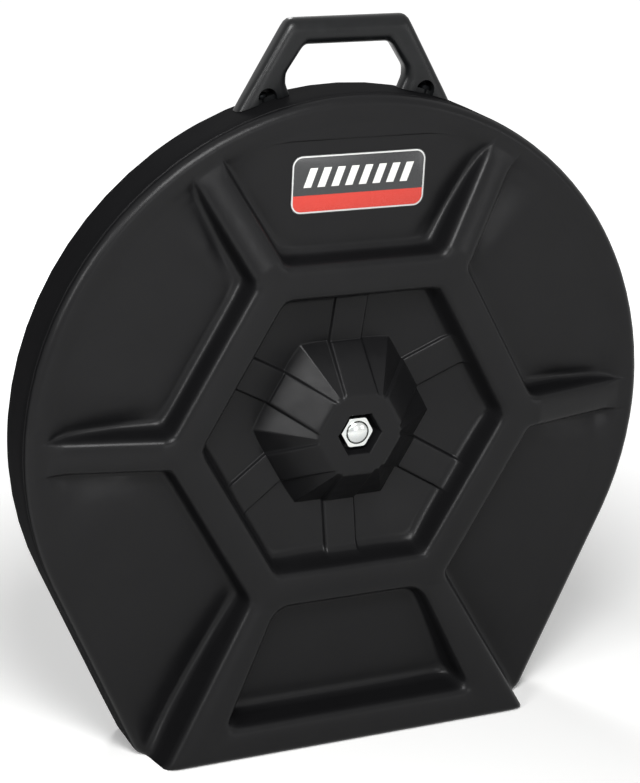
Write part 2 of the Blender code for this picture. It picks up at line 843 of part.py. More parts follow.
def label():
    """Plate of the label, lying on its pad."""
    half_x = LABEL_WIDTH / 2
    half_z = LABEL_HEIGHT / 2
    corners = [Vector((-half_x, LABEL_RISE - half_z)), Vector((half_x, LABEL_RISE - half_z)),
               Vector((half_x, LABEL_RISE + half_z)), Vector((-half_x, LABEL_RISE + half_z))]
    plan = rounded_polygon(corners, LABEL_CORNER_RADIUS, 6)
    skin = Skin()
    front = [skin.point(p.x, pad_depth(p.y) - GAP - LABEL_THICKNESS, p.y) for p in plan]
    back = [skin.point(p.x, pad_depth(p.y) - GAP, p.y) for p in plan]
    skin.ring(front, back)
    skin.face(front)
    skin.face(back)
    return finish("label", skin.bm, label_film(), place(0.0, pad_depth(LABEL_RISE), LABEL_RISE))


# Back shell

def clipped(points, on_line, outward):
    """Convex outline cut off by a line; what lies on the line's outward side goes."""
    made = []
    for index, point in enumerate(points):
        following = points[(index + 1) % len(points)]
        here = (point - on_line).dot(outward)
        there = (following - on_line).dot(outward)
        if here <= 0:
            made.append(point)
        if here * there < 0:
            made.append(point.lerp(following, here / (here - there)))
    return made


def back_outline(inset):
    """Sharp-cornered outline of the back, moved inwards by inset, anticlockwise."""
    radius = RIM_RADIUS - inset
    steps = RIM_STEPS * 4
    made = [polar(radius, lerp(-TAPER, math.pi + TAPER, index / steps)) for index in range(steps + 1)]
    along = Vector((math.sin(TAPER), -math.cos(TAPER)))
    corner = meet(made[-1], along, Vector((0.0, inset - POST_HEIGHT)), Vector((1.0, 0.0)))
    return made + [corner, Vector((-corner.x, corner.y))]


def back_panel_core(sector):
    """Plan of one sunk panel of the back, moved inwards by the radius of its corners."""
    low = math.radians(60 * sector)
    high = low + math.radians(60)
    half = SPOKE_WIDTH / 2 + BACK_CORNER_RADIUS
    low_side = Vector((math.sin(low), -math.cos(low)))
    high_side = Vector((-math.sin(high), math.cos(high)))
    middle = polar(1.0, low + math.radians(30))
    ring = KNOB_POCKET_RADIUS + BACK_RING_WIDTH + BACK_CORNER_RADIUS
    plan = back_outline(RIM_EDGE_RADIUS + BACK_RIM_WIDTH + BACK_CORNER_RADIUS)
    plan = clipped(plan, -low_side * half, low_side)
    plan = clipped(plan, -high_side * half, high_side)
    plan = clipped(plan, middle * ring, -middle)
    return [p for index, p in enumerate(plan) if (p - plan[index - 1]).length > BACK_POINT_SPACING]


def grown(points, radius):
    """Convex outline grown by radius all round, with round corners."""
    made = []
    for index, point in enumerate(points):
        before = point - points[index - 1]
        after = points[(index + 1) % len(points)] - point
        start = math.atan2(-before.x, before.y)
        turn = math.atan2(before.x * after.y - before.y * after.x, before.dot(after))
        shares = (0.5,) if turn < SMALL_TURN else (0.0, 0.33, 0.67, 1.0)
        made += [point + polar(radius, start + turn * share) for share in shares]
    return made


def rear_surface():
    """Outer skin of the rear shell, open at the seam and at the knob's bore."""
    skin = Skin()
    rows = []
    steps = [(0.0, SEAM_DEPTH + GAP)]
    for index in range(EDGE_STEPS + 1):
        angle = math.pi / 2 * index / EDGE_STEPS
        inset = RIM_EDGE_RADIUS * (1 - math.cos(angle))
        steps.append((inset, BACK_DEPTH - RIM_EDGE_RADIUS * (1 - math.sin(angle))))
    for inset, depth in steps:
        rows.append([skin.point(p.x, depth, p.y) for p in closed_outline(inset)])
    for row, following in zip(rows, rows[1:]):
        skin.ring(row, following)
    holes = [rows[-1]]
    for sector in range(6):
        core = back_panel_core(sector)
        wall = BACK_PANEL_DEPTH * math.tan(BACK_PANEL_DRAFT)
        top = [skin.point(p.x, BACK_DEPTH, p.y) for p in grown(core, BACK_CORNER_RADIUS)]
        floor = [skin.point(p.x, BACK_DEPTH - BACK_PANEL_DEPTH, p.y)
                 for p in grown(core, BACK_CORNER_RADIUS - wall)]
        skin.ring(top, floor)
        skin.fill([floor])
        holes.append(top)
    rings = []
    wall = KNOB_POCKET_DEPTH * math.tan(DRAFT)
    pocket_floor = BACK_DEPTH - KNOB_POCKET_DEPTH
    for radius, depth in ((KNOB_POCKET_RADIUS + wall, BACK_DEPTH), (KNOB_POCKET_RADIUS, pocket_floor),
                          (INSERT_RADIUS + GAP, pocket_floor)):
        plan = [polar(radius, math.tau * index / TURN_STEPS) for index in range(TURN_STEPS)]
        rings.append([skin.point(p.x, depth, p.y) for p in plan])
    for ring, following in zip(rings, rings[1:]):
        skin.ring(ring, following)
    skin.fill(holes + [rings[0]])
    return skin


def screw_frame(side):
    """Frame of one handle screw: origin in the centre of the case, third axis out through the screw."""
    offset = (HANDLE_FOOT_INNER + HANDLE_FOOT_OUTER) / 2
    angle = math.pi / 2 - side * math.asin(offset / (RIM_RADIUS + GAP))
    out = Vector((math.cos(angle), 0.0, math.sin(angle)))
    first = Vector((0.0, 1.0, 0.0))
    second = out.cross(first)
    turn = Matrix((first, second, out)).transposed().to_4x4()
    return Matrix.Translation(place(0.0, SCREW_DEPTH, 0.0)) @ turn


def post_frame():
    """Frame of the centre post: origin at depth 0, third axis towards the back."""
    turn = Matrix((Vector((1, 0, 0)), Vector((0, 0, -1)), Vector((0, 1, 0)))).transposed().to_4x4()
    return Matrix.Translation(place(0.0, 0.0, 0.0)) @ turn


def hexed(across_flats):
    """Radius of a hexagon with corners at the first axis, as a function of the angle."""
    def radius(angle):
        return across_flats / 2 / math.cos(angle % (math.pi / 3) - math.pi / 6)
    return radius


def turned(name, profile, look, frame, opening=0.0):
    """Body of revolution from (radius, reach) points; it is bored if the profile closes on itself."""
    bm = bmesh.new()
    steps = TURN_STEPS
    count = steps if not opening else steps + 1
    rings = []
    for radius, reach in profile:
        if radius == 0.0:
            rings.append([bm.verts.new(frame @ Vector((0.0, 0.0, reach)))])
            continue
        ring = []
        for index in range(count):
            angle = opening / 2 + (math.tau - opening) * index / steps
            size = radius(angle) if callable(radius) else radius
            ring.append(bm.verts.new(frame @ Vector((size * math.cos(angle), size * math.sin(angle), reach))))
        rings.append(ring)
    closed = len(rings[0]) > 1
    pairs = list(zip(rings, rings[1:] + rings[:1])) if closed else list(zip(rings, rings[1:]))
    for ring, following in pairs:
        for index in range(count if not opening else steps):
            after = (index + 1) % count
            corners = [ring[index % len(ring)], ring[after % len(ring)], following[after % len(following)],
                       following[index % len(following)]]
            bm.faces.new(list(dict.fromkeys(corners)))
    if opening:
        bm.faces.new([ring[0] for ring in rings])
        bm.faces.new([ring[-1] for ring in reversed(rings)])
    origin = frame @ Vector((0.0, 0.0, profile[0][1]))
    return finish(name, bm, look, origin)


def washer(name, bore, radius, start, thickness, look, frame):
    edge = min(thickness, radius - bore) * 0.2
    end = start + thickness
    profile = [(bore, start), (radius - edge, start), (radius, start + edge), (radius, end - edge),
               (radius - edge, end), (bore, end)]
    return turned(name, profile, look, frame)


def rear_shell():
    shell = finish("rear_shell", rear_surface().bm, black_shell())
    shell_walls(shell)
    for side, word in ((-1, "left"), (1, "right")):
        low, high = RIM_RADIUS - WALL * 2, RIM_RADIUS + WALL
        bore = SCREW_RADIUS + GAP
        hole = turned(f"handle_hole_{word}", [(0.0, low), (bore, low), (bore, high), (0.0, high)],
                      black_shell(), screw_frame(side))
        combine(shell, hole, "DIFFERENCE")
    return shell


# Handle

def foot_points(steps):
    """Sole of the right foot, from its inner to its outer end, just clear of the rim."""
    seat = RIM_RADIUS + GAP
    start = math.acos(HANDLE_FOOT_INNER / seat)
    end = math.acos(HANDLE_FOOT_OUTER / seat)
    return [polar(seat, lerp(start, end, index / steps)) for index in range(steps + 1)]


def handle_plan():
    """Outline of the handle's right half: inside of the grip, down to the foot, along it, up the outside."""
    bar_bottom = HANDLE_TOP_HEIGHT - GRIP_THICKNESS
    waist = RIM_RADIUS + HANDLE_WAIST_RISE
    waist_x = HANDLE_FOOT_INNER + HANDLE_WAIST_FLARE
    inner = [Vector((GRIP_HALF_LENGTH, bar_bottom)), Vector((waist_x, lerp(waist, bar_bottom, 0.2))),
             Vector((waist_x, lerp(waist, RIM_RADIUS, 0.4)))]
    sole = foot_points(8)
    inside = softened(inner + sole[:1], HANDLE_CORNER_RADIUS)
    outside = softened([sole[-1], Vector((HANDLE_TOP_HALF_WIDTH, HANDLE_TOP_HEIGHT)),
                        Vector((0.0, HANDLE_TOP_HEIGHT))], HANDLE_CORNER_RADIUS)
    return inside[:-1] + sole + outside[1:-1]


def softened(chain, radius):
    """Open chain of points with its inner corners rounded."""
    made = [chain[0]]
    for before, corner, after in zip(chain, chain[1:], chain[2:]):
        back = (before - corner).normalized()
        ahead = (after - corner).normalized()
        half = math.acos(max(-1.0, min(1.0, back.dot(ahead)))) / 2
        reach = min(radius / math.tan(half), (before - corner).length * 0.45, (after - corner).length * 0.45)
        start = corner + back * reach
        end = corner + ahead * reach
        for step in range(5):
            share = step / 4
            made.append(start.lerp(corner, share).lerp(corner.lerp(end, share), share))
    return made + [chain[-1]]


def handle():
    half = handle_plan()
    plan = half + [Vector((-p.x, p.y)) for p in reversed(half)]
    skin = Skin()
    front_depth = HANDLE_DEPTH - HANDLE_THICKNESS / 2
    back_depth = HANDLE_DEPTH + HANDLE_THICKNESS / 2
    front = [skin.point(p.x, front_depth, p.y) for p in plan]
    back = [skin.point(p.x, back_depth, p.y) for p in plan]
    skin.ring(front, back)
    skin.face(front)
    skin.face(back)
    weights = skin.bm.edges.layers.float.new("bevel_weight_edge")
    for loop in (front, back):
        for index, corner in enumerate(loop):
            edge = skin.bm.edges.get([corner, loop[(index + 1) % len(loop)]])
            on_rim = all((v.co - place(0.0, v.co.y + DEPTH_CENTRE, 0.0)).length < RIM_RADIUS + CUT_MARGIN
                         for v in edge.verts)
            edge[weights] = 0.0 if on_rim else 1.0
    made = finish("handle", skin.bm, black_plastic(), place(0.0, HANDLE_DEPTH, HANDLE_TOP_HEIGHT))
    rounding = made.modifiers.new("rounded_edges", "BEVEL")
    rounding.width = HANDLE_EDGE_RADIUS
    rounding.segments = 3
    rounding.limit_method = "WEIGHT"
    for side, word in ((-1, "left"), (1, "right")):
        combine(made, foot_pocket(side, word), "DIFFERENCE")
        low, high = RIM_RADIUS - WALL, RIM_RADIUS + POCKET_FLOOR + CUT_MARGIN
        bore = [(0.0, low), (SCREW_RADIUS + GAP, low), (SCREW_RADIUS + GAP, high), (0.0, high)]
        combine(made, turned(f"handle_bore_{word}", bore, black_plastic(), screw_frame(side)), "DIFFERENCE")
    return made


def foot_pocket(side, word):
    """Cutter of the arched pocket in a foot's front, over the flange that the screw clamps."""
    frame = screw_frame(side)
    floor = RIM_RADIUS + GAP + POCKET_FLOOR
    plan = [Vector((POCKET_RADIUS * math.cos(a), POCKET_RADIUS * math.sin(a)))
            for a in [math.pi * index / 12 for index in range(13)]]
    bm = bmesh.new()
    near = HANDLE_DEPTH - HANDLE_THICKNESS / 2 - CUT_MARGIN - SCREW_DEPTH
    far = near + CUT_MARGIN + POCKET_REACH
    front = [bm.verts.new(frame @ Vector((near, p.x, floor + p.y))) for p in plan]
    back = [bm.verts.new(frame @ Vector((far, p.x, floor + p.y))) for p in plan]
    for index in range(len(plan)):
        after = (index + 1) % len(plan)
        bm.faces.new([front[index], front[after], back[after], back[index]])
    bm.faces.new(front)
    bm.faces.new(back)
    return finish(f"foot_pocket_{word}", bm, black_plastic(), frame.translation)


def handle_fasteners():
    """Screw, washer and nut through each foot of the handle."""
    for side, word in ((-1, "left"), (1, "right")):
        frame = screw_frame(side)
        seat = RIM_RADIUS + GAP + POCKET_FLOOR + GAP
        inside = RIM_RADIUS - WALL - GAP
        washer_start = inside - HANDLE_WASHER_THICKNESS - WALL_CURVE_GAP
        nut_top = washer_start - GAP
        end = nut_top - HANDLE_NUT_HEIGHT - SCREW_RADIUS / 2
        head = seat + SCREW_HEAD_HEIGHT
        socket = hexed(SCREW_SOCKET_ACROSS_FLATS)
        rim = SCREW_SOCKET_ACROSS_FLATS * 0.7
        profile = [(0.0, end), (SCREW_RADIUS * 0.8, end), (SCREW_RADIUS, end + SCREW_RADIUS * 0.2),
                   (SCREW_RADIUS, seat), (SCREW_HEAD_RADIUS, seat),
                   (SCREW_HEAD_RADIUS, seat + SCREW_HEAD_HEIGHT * 0.4),
                   (SCREW_HEAD_RADIUS * 0.85, seat + SCREW_HEAD_HEIGHT * 0.8), (rim, head),
                   (socket, head), (socket, head - SCREW_SOCKET_DEPTH), (0.0, head - SCREW_SOCKET_DEPTH)]
        turned(f"handle_screw_{word}", profile, zinc(), frame)
        washer(f"handle_washer_{word}", SCREW_RADIUS + GAP, HANDLE_WASHER_RADIUS, washer_start,
               HANDLE_WASHER_THICKNESS, zinc(), frame)
        hex_nut(f"handle_nut_{word}", HANDLE_NUT_ACROSS_FLATS, SCREW_RADIUS + GAP,
                nut_top - HANDLE_NUT_HEIGHT, HANDLE_NUT_HEIGHT, frame)


def hex_nut(name, across_flats, bore, start, height, frame):
    rim = across_flats / 2 * NUT_FACE_SHARE
    end = start + height
    profile = [(bore, start), (rim, start), (hexed(across_flats), start + NUT_CHAMFER),
               (hexed(across_flats), end - NUT_CHAMFER), (rim, end), (bore, end)]
    return turned(name, profile, zinc(), frame)


# Post and its stack

def acorn_seat():
    return BOSS_TOP_DEPTH + NUT_POCKET_DEPTH - GAP * 2 - ACORN_WASHER_THICKNESS


def acorn_nut():
    seat = acorn_seat() - GAP
    top = seat - ACORN_HEX_HEIGHT
    tip = top - ACORN_DOME_HEIGHT
    rim = ACORN_ACROSS_FLATS / 2 * NUT_FACE_SHARE
    profile = [(STUD_RADIUS + GAP, seat), (rim, seat), (hexed(ACORN_ACROSS_FLATS), seat - ACORN_CHAMFER),
               (hexed(ACORN_ACROSS_FLATS), top + ACORN_CHAMFER), (rim, top), (ACORN_DOME_RADIUS, top)]
    for index in range(1, 7):
        angle = math.pi / 2 * index / 7
        profile.append((ACORN_DOME_RADIUS * math.cos(angle), top - ACORN_DOME_HEIGHT * math.sin(angle)))
    profile.append((0.0, tip))
    profile = list(reversed(profile))
    profile += [(STUD_RADIUS + GAP, stud_tip() - GAP), (0.0, stud_tip() - GAP * 4)]
    return turned("acorn_nut", profile, zinc(), post_frame())


def stud_tip():
    return acorn_seat() - ACORN_HEX_HEIGHT - ACORN_DOME_HEIGHT * 0.3


def collar_depth():
    return BOSS_TOP_DEPTH + NUT_POCKET_DEPTH + WALL + GAP * 2 + SEAL_THICKNESS


def stack_depth():
    return collar_depth() + COLLAR_THICKNESS + GAP


def centre_post():
    collar = collar_depth()
    back = collar + COLLAR_THICKNESS
    end = knob_seat() + INSERT_DEPTH_IN_KNOB - ROD_SHORTFALL
    tip = stud_tip()
    edge = ROD_CHAMFER
    profile = [(0.0, tip), (STUD_RADIUS - edge, tip), (STUD_RADIUS, tip + edge), (STUD_RADIUS, collar),
               (COLLAR_RADIUS, collar), (COLLAR_RADIUS, back), (ROD_RADIUS, back), (ROD_RADIUS, end - edge),
               (ROD_RADIUS - edge, end), (0.0, end)]
    return turned("centre_post", profile, zinc(), post_frame())


def post_stack():
    """Washers, felts and sleeve on the post."""
    frame = post_frame()
    washer("acorn_nut_washer", STUD_RADIUS + GAP, ACORN_WASHER_RADIUS, acorn_seat(), ACORN_WASHER_THICKNESS,
           zinc(), frame)
    seal = BOSS_TOP_DEPTH + NUT_POCKET_DEPTH + WALL + GAP
    washer("post_seal_washer", STUD_RADIUS + GAP, SEAL_RADIUS, seal, SEAL_THICKNESS, rubber(), frame)
    start = stack_depth()
    washer("front_felt", SLEEVE_RADIUS + GAP, FELT_RADIUS, start, FELT_THICKNESS, felt(), frame)
    rear = start + FELT_THICKNESS + GAP
    washer("rear_felt", SLEEVE_RADIUS + GAP, FELT_RADIUS, rear, FELT_THICKNESS, felt(), frame)
    washer("cymbal_sleeve", ROD_RADIUS + GAP, SLEEVE_RADIUS, start, FELT_THICKNESS * 2 + GAP, nylon(), frame)
    clamp = rear + FELT_THICKNESS + GAP
    washer("clamp_washer", ROD_RADIUS + GAP, CLAMP_WASHER_RADIUS, clamp, CLAMP_WASHER_THICKNESS,
           zinc(), frame)
    return clamp + CLAMP_WASHER_THICKNESS + GAP


def wing_nut(start):
    """Wing nut: a bored body with two upright wings."""
    frame = post_frame()
    body = turned("wing_nut", [(ROD_RADIUS + GAP, start), (WING_BODY_RADIUS, start),
                               (WING_BODY_RADIUS, start + WING_BODY_HEIGHT * 0.6),
                               (WING_BODY_RADIUS * 0.8, start + WING_BODY_HEIGHT),
                               (ROD_RADIUS + GAP, start + WING_BODY_HEIGHT)], zinc(), frame)
    tip = WING_SPAN / 2
    top = start + WING_HEIGHT
    for side, word in ((-1, "left"), (1, "right")):
        root = WING_BODY_RADIUS * 0.7
        corners = [Vector((root, start + WING_ROOT_RISE)), Vector((tip * 0.8, start + WING_HEIGHT * 0.3)),
                   Vector((tip, start + WING_HEIGHT * 0.83)), Vector((tip * 0.75, top)),
                   Vector((root, start + WING_BODY_HEIGHT * 0.85))]
        plan = rounded_polygon(corners, WING_CORNER_RADIUS, 3)
        bm = bmesh.new()
        half = WING_THICKNESS / 2
        near = [bm.verts.new(frame @ Vector((side * p.x, -half, p.y))) for p in plan]
        far = [bm.verts.new(frame @ Vector((side * p.x, half, p.y))) for p in plan]
        for index in range(len(plan)):
            after = (index + 1) % len(plan)
            bm.faces.new([near[index], near[after], far[after], far[index]])
        bm.faces.new(near)
        bm.faces.new(far)
        combine(body, finish(f"wing_{word}", bm, zinc(), frame.translation), "UNION")
    return body


# Closing knob

def lobed(radius):
    def size(angle):
        return radius + KNOB_LOBE * math.cos(KNOB_LOBES * angle)
    return size


def knob_seat():
    return BACK_DEPTH - KNOB_POCKET_DEPTH + GAP * 2 + KNOB_WASHER_THICKNESS


def closing_knob():
    start = knob_seat()
    end = start + KNOB_HEIGHT
    hole = start + INSERT_DEPTH_IN_KNOB + GAP
    edge = KNOB_EDGE_RADIUS
    profile = [(0.0, end), (lobed(KNOB_RADIUS * 0.80), end), (lobed(KNOB_RADIUS * 0.94), end - edge / 3),
               (lobed(KNOB_RADIUS), end - edge), (lobed(KNOB_RADIUS), start + edge),
               (lobed(KNOB_RADIUS * 0.92), start + edge / 6), (KNOB_WASHER_RADIUS, start),
               (INSERT_RADIUS + GAP, start), (INSERT_RADIUS + GAP, hole), (0.0, hole)]
    return turned("closing_knob", profile, black_plastic(), post_frame())


def knob_hardware():
    """Threaded insert through the back, with its washer outside and its retaining ring inside."""
    frame = post_frame()
    outside = BACK_DEPTH - KNOB_POCKET_DEPTH
    washer("knob_washer", INSERT_RADIUS + GAP, KNOB_WASHER_RADIUS, outside + GAP, KNOB_WASHER_THICKNESS,
           nylon(), frame)
    groove = outside - WALL - GAP - CLIP_THICKNESS
    tip = groove - GAP - INSERT_TIP
    end = knob_seat() + INSERT_DEPTH_IN_KNOB
    neck = INSERT_RADIUS - CLIP_GROOVE_DEPTH
    profile = [(ROD_RADIUS + GAP, tip), (INSERT_RADIUS, tip),
               (INSERT_RADIUS, groove - GAP), (neck, groove - GAP),
               (neck, groove + CLIP_THICKNESS + GAP / 2), (INSERT_RADIUS, groove + CLIP_THICKNESS + GAP / 2),
               (INSERT_RADIUS, end), (ROD_RADIUS + GAP, end)]
    turned("knob_insert", profile, brass(), frame)
    ring = [(neck + GAP, groove), (CLIP_RADIUS, groove), (CLIP_RADIUS, groove + CLIP_THICKNESS),
            (neck + GAP, groove + CLIP_THICKNESS)]
    turned("knob_clip", ring, zinc(), frame, CLIP_OPENING)


def build():
    clear_scene()
    front_shell()
    label()
    rear_shell()
    handle()
    handle_fasteners()
    acorn_nut()
    centre_post()
    wing_nut(post_stack())
    closing_knob()
    knob_hardware()


build()
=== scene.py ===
"""Looks of a moulded case for cymbals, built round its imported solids."""

import math

import bmesh
import bpy
import numpy as np
from mathutils import Matrix, Vector, noise


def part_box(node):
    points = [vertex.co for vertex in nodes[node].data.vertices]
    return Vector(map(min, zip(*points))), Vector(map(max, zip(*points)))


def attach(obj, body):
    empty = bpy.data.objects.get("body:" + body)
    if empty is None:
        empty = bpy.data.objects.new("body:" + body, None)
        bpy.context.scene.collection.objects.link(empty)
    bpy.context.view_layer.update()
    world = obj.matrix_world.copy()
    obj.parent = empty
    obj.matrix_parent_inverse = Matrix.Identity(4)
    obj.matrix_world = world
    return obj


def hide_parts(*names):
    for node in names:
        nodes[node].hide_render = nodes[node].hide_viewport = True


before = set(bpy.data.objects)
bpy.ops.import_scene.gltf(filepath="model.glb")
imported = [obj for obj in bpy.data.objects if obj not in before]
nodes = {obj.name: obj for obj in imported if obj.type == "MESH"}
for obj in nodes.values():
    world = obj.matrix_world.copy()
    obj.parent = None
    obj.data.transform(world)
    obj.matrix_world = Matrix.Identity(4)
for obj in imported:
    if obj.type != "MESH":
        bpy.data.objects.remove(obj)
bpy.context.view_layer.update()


# Camera
# A long lens looks down on the case from its front left. The camera is tilted a little, so the case
# leans to the right of the frame as it does in the photograph.

LENS = 102.8
CAMERA_AZIMUTH = math.radians(-24.8)
CAMERA_ELEVATION = math.radians(19.57)
CAMERA_ROLL = math.radians(2.40)
CAMERA_DISTANCE = 1.9475
CAMERA_TARGET = Vector((-0.0401, -0.034, 0.34125))
CAMERA_REACH = 20.0


def put(name, data):
    """Object of the scene that shows some data."""
    made = bpy.data.objects.new(name, data)
    bpy.context.scene.collection.objects.link(made)
    return made


back = Vector((math.sin(CAMERA_AZIMUTH) * math.cos(CAMERA_ELEVATION),
               -math.cos(CAMERA_AZIMUTH) * math.cos(CAMERA_ELEVATION), math.sin(CAMERA_ELEVATION)))
level = Vector((math.cos(CAMERA_AZIMUTH), math.sin(CAMERA_AZIMUTH), 0.0))
upright = back.cross(level)
right = level * math.cos(CAMERA_ROLL) + upright * math.sin(CAMERA_ROLL)
up = upright * math.cos(CAMERA_ROLL) - level * math.sin(CAMERA_ROLL)
camera = put("camera", bpy.data.cameras.new("camera"))
camera.data.lens = LENS
camera.data.clip_end = CAMERA_REACH
camera.matrix_world = (Matrix.Translation(CAMERA_TARGET + back * CAMERA_DISTANCE)
                       @ Matrix((right, up, back)).transposed().to_4x4())
bpy.context.scene.camera = camera


# Studio
# A pale matt table under one soft lamp, near and high at the front left, with weaker ones low at the front
# and the sides and one behind. The room shows as plain white, and away from the case the table runs into it.

bpy.context.scene.view_settings.view_transform = "Standard"
ROOM_STRENGTH = 0.07
LAMP_SIZE = 0.5
LAMP_AIM = Vector((0.0, 0.0, 0.3))
TABLE_HALF = 6.0
TABLE_COLOUR = "#f4f4f3"
TABLE_GLOW = 0.20
TABLE_FADE_START = 0.4
TABLE_FADE_END = 1.3


def linear(hexed):
    """Linear RGBA of an sRGB hex colour."""
    shares = [int(hexed[i:i + 2], 16) / 255 for i in (1, 3, 5)]
    return [s / 12.92 if s <= 0.04045 else ((s + 0.055) / 1.055) ** 2.4 for s in shares] + [1.0]


def node(tree, kind, settings=None, **inputs):
    """Adds a shader node; an input is a value, another node's output, or a node for its first output."""
    made = tree.nodes.new("ShaderNode" + kind)
    for name, value in (settings or {}).items():
        setattr(made, name, value)
    for name, value in inputs.items():
        socket = made.inputs[int(name[1:]) if name[0] == "_" else name.replace("_", " ")]
        if isinstance(value, bpy.types.Node):
            value = value.outputs[0]
        if isinstance(value, bpy.types.NodeSocket):
            tree.links.new(value, socket)
        else:
            socket.default_value = value
    return made


def lamp(name, azimuth, elevation, distance, power):
    """Square area lamp that faces the middle of the case, placed in degrees and metres, with its watts.

    The azimuth runs from the front to the right."""
    turn, rise = math.radians(azimuth), math.radians(elevation)
    away = Vector((math.sin(turn) * math.cos(rise), -math.cos(turn) * math.cos(rise), math.sin(rise)))
    light = bpy.data.lights.new(name, "AREA")
    light.size = LAMP_SIZE
    light.energy = power
    made = put(name, light)
    made.location = LAMP_AIM + away * distance
    made.rotation_euler = away.to_track_quat("Z", "Y").to_euler()


def start_material(name):
    """New material without nodes, its node tree, and the place on the object in metres."""
    material = bpy.data.materials.new(name)
    material.use_nodes = True
    tree = material.node_tree
    tree.nodes.clear()
    return material, tree, node(tree, "TexCoord").outputs["Object"]


def seen_directly(tree):
    """1 for rays that show the background itself: from the camera, off gloss or through glass."""
    rays = node(tree, "LightPath")
    either = node(tree, "Math", {"operation": "MAXIMUM"}, _0=rays.outputs["Is Camera Ray"],
                  _1=rays.outputs["Is Glossy Ray"])
    return node(tree, "Math", {"operation": "MAXIMUM"}, _0=either, _1=rays.outputs["Is Transmission Ray"])


world = bpy.data.worlds.new("room")
world.use_nodes = True
tree = world.node_tree
tree.nodes.clear()
strength = node(tree, "MapRange", _0=seen_directly(tree), _3=ROOM_STRENGTH, _4=1.0)
room = node(tree, "Background", Color=(1.0, 1.0, 1.0, 1.0), Strength=strength)
node(tree, "OutputWorld", Surface=room)
bpy.context.scene.world = world
lamp("key", -22, 45, 1.25, 16.0)
lamp("low_front", 6, 8, 2.4, 6.0)
lamp("low_left", -62, 26, 2.0, 14.0)
lamp("low_right", 40, 8, 2.4, 3.5)
lamp("behind", 170, 40, 2.0, 14.0)

table = put("table", bpy.data.meshes.new("table"))
table.data.from_pydata([(-TABLE_HALF, -TABLE_HALF, 0), (TABLE_HALF, -TABLE_HALF, 0),
                        (TABLE_HALF, TABLE_HALF, 0), (-TABLE_HALF, TABLE_HALF, 0)], [], [(0, 1, 2, 3)])
matt, tree, spot = start_material("matt_table_top")
away = node(tree, "VectorMath", {"operation": "LENGTH"}, _0=spot).outputs["Value"]
glow = node(tree, "MapRange", _0=away, _1=TABLE_FADE_START, _2=TABLE_FADE_END, _3=TABLE_GLOW,
            _4=1.0)
glow = node(tree, "Math", {"operation": "MULTIPLY"}, _0=glow, _1=seen_directly(tree))
shader = node(tree, "BsdfPrincipled", Base_Color=linear(TABLE_COLOUR), Roughness=0.9, Specular_IOR_Level=0.0,
              Emission_Color=(1.0, 1.0, 1.0, 1.0), Emission_Strength=glow)
node(tree, "OutputMaterial", Surface=shader)
table.data.materials.append(matt)


# Front shell
# The face of the case is one rotational moulding in polyethylene: a hexagon ring, six spokes of which
# two become legs, five sunk panels between them and a sunk window in the foot. The middle rises again
# into a hexagonal boss with six raised bands, which holds the bells of the cymbals.

# Plan sizes are in mm from the post, and depths are in mm behind the hexagon's top.
MM = 0.001
POST_HEIGHT = 297.0
DEPTH_CENTRE = 34.0
RIM = 299.0
TAPER = math.radians(24)
BASE_CORNER = 12.0
RIM_EDGE = 8.0
FOOT_EDGE = 6.0
FOOT_EDGE_DEPTH = 2.0
RIM_EDGE_DEPTH = 14.0
SEAM = 30.0
WALL = 4.0
SEAM_EDGE = 0.6
LIP_GAP = 0.5
LIP_THICKNESS = 3.0
LIP_HEIGHT = 6.0
LIP_EDGE = 0.6

POST_BORE = 8.3
NUT_POCKET = 18.5
NUT_POCKET_FLOOR = 12.0
NUT_POCKET_DRAFT = math.radians(6)
NUT_POCKET_EDGE = 1.2
NUT_POCKET_FILLET = 0.9
PLATE = 37.3
PLATE_DEPTH = -2.0
PLATE_EDGE = 2.2
PLATE_INSIDE = PLATE - 8.0
BAND_HALF = 15.8
BAND_ROUNDING = 2.4
BAND_ROUNDED_SHARE = 0.6
BAND_STEP = 1.2
BAND_RISE_AT_PLATE = 2.8
BAND_RISE_AT_FOOT = 5.2
BAND_RISE_ON_FLOOR = 3.8
BOSS_FOOT = 75.6
BOSS_FOOT_DEPTH = 40.0
BOSS_FOOT_STEP = 3.0
BOSS_FOOT_STEP_RUN = 1.0
BOSS_FOOT_FILLET = 0.8
RECESS_FLOOR_SINK = 0.6
RECESS_ROUNDNESS = 8
RECESS_CORNER = 8.0
RECESS_WALL_FOOT = 121.5
RECESS_WALL_FOOT_DEPTH = 29.75
RECESS_TOP = 128.25
RECESS_DRAFT = math.atan((RECESS_TOP - RECESS_WALL_FOOT) / RECESS_WALL_FOOT_DEPTH)
RING_OUTER = 158.5
DRAFT = math.radians(10)
TOP_EDGE = 5.5
TOP_CROWN = 2.0
TOP_HALF = 14.5
FLOOR_EDGE = 8.0
SPOKE_HALF = 14.5
LEG_OUTER = 8.2
SPOKE_RAMP_START = 183.0
SPOKE_RAMP_END = 281.0
SPOKE_END_DEPTH = 22.5
SPOKE_END_BLEND = 2.5
PANEL_CORNER = 6.0
FOOT_FRONT = -17.0
WINDOW_TOP = 160.0
WINDOW_BOTTOM = 267.7
WINDOW_TOP_HALF = 72.2
WINDOW_BOTTOM_HALF = 124.0
WINDOW_LEAN = (WINDOW_BOTTOM_HALF - WINDOW_TOP_HALF) / (WINDOW_BOTTOM - WINDOW_TOP)
WINDOW_CORNER = 14.0
WINDOW_FLOOR = 21.0
PAD_SECTOR = 1
FOOT_SECTOR = 4
PAD_HALF = 72.5
PAD_BOTTOM = 185.0
PAD_TOP = 262.0
PAD_BOTTOM_DEPTH = 26.8
PAD_TOP_DEPTH = 25.1
PAD_SIDE_OUT = 2.5
PAD_SIDE_RUN = 4.0
PAD_FOOT_OUT = 5.0
PAD_FOOT_IN = 1.0
PAD_STEP_OUT = 0.35
PAD_STEP_RUN = 0.5

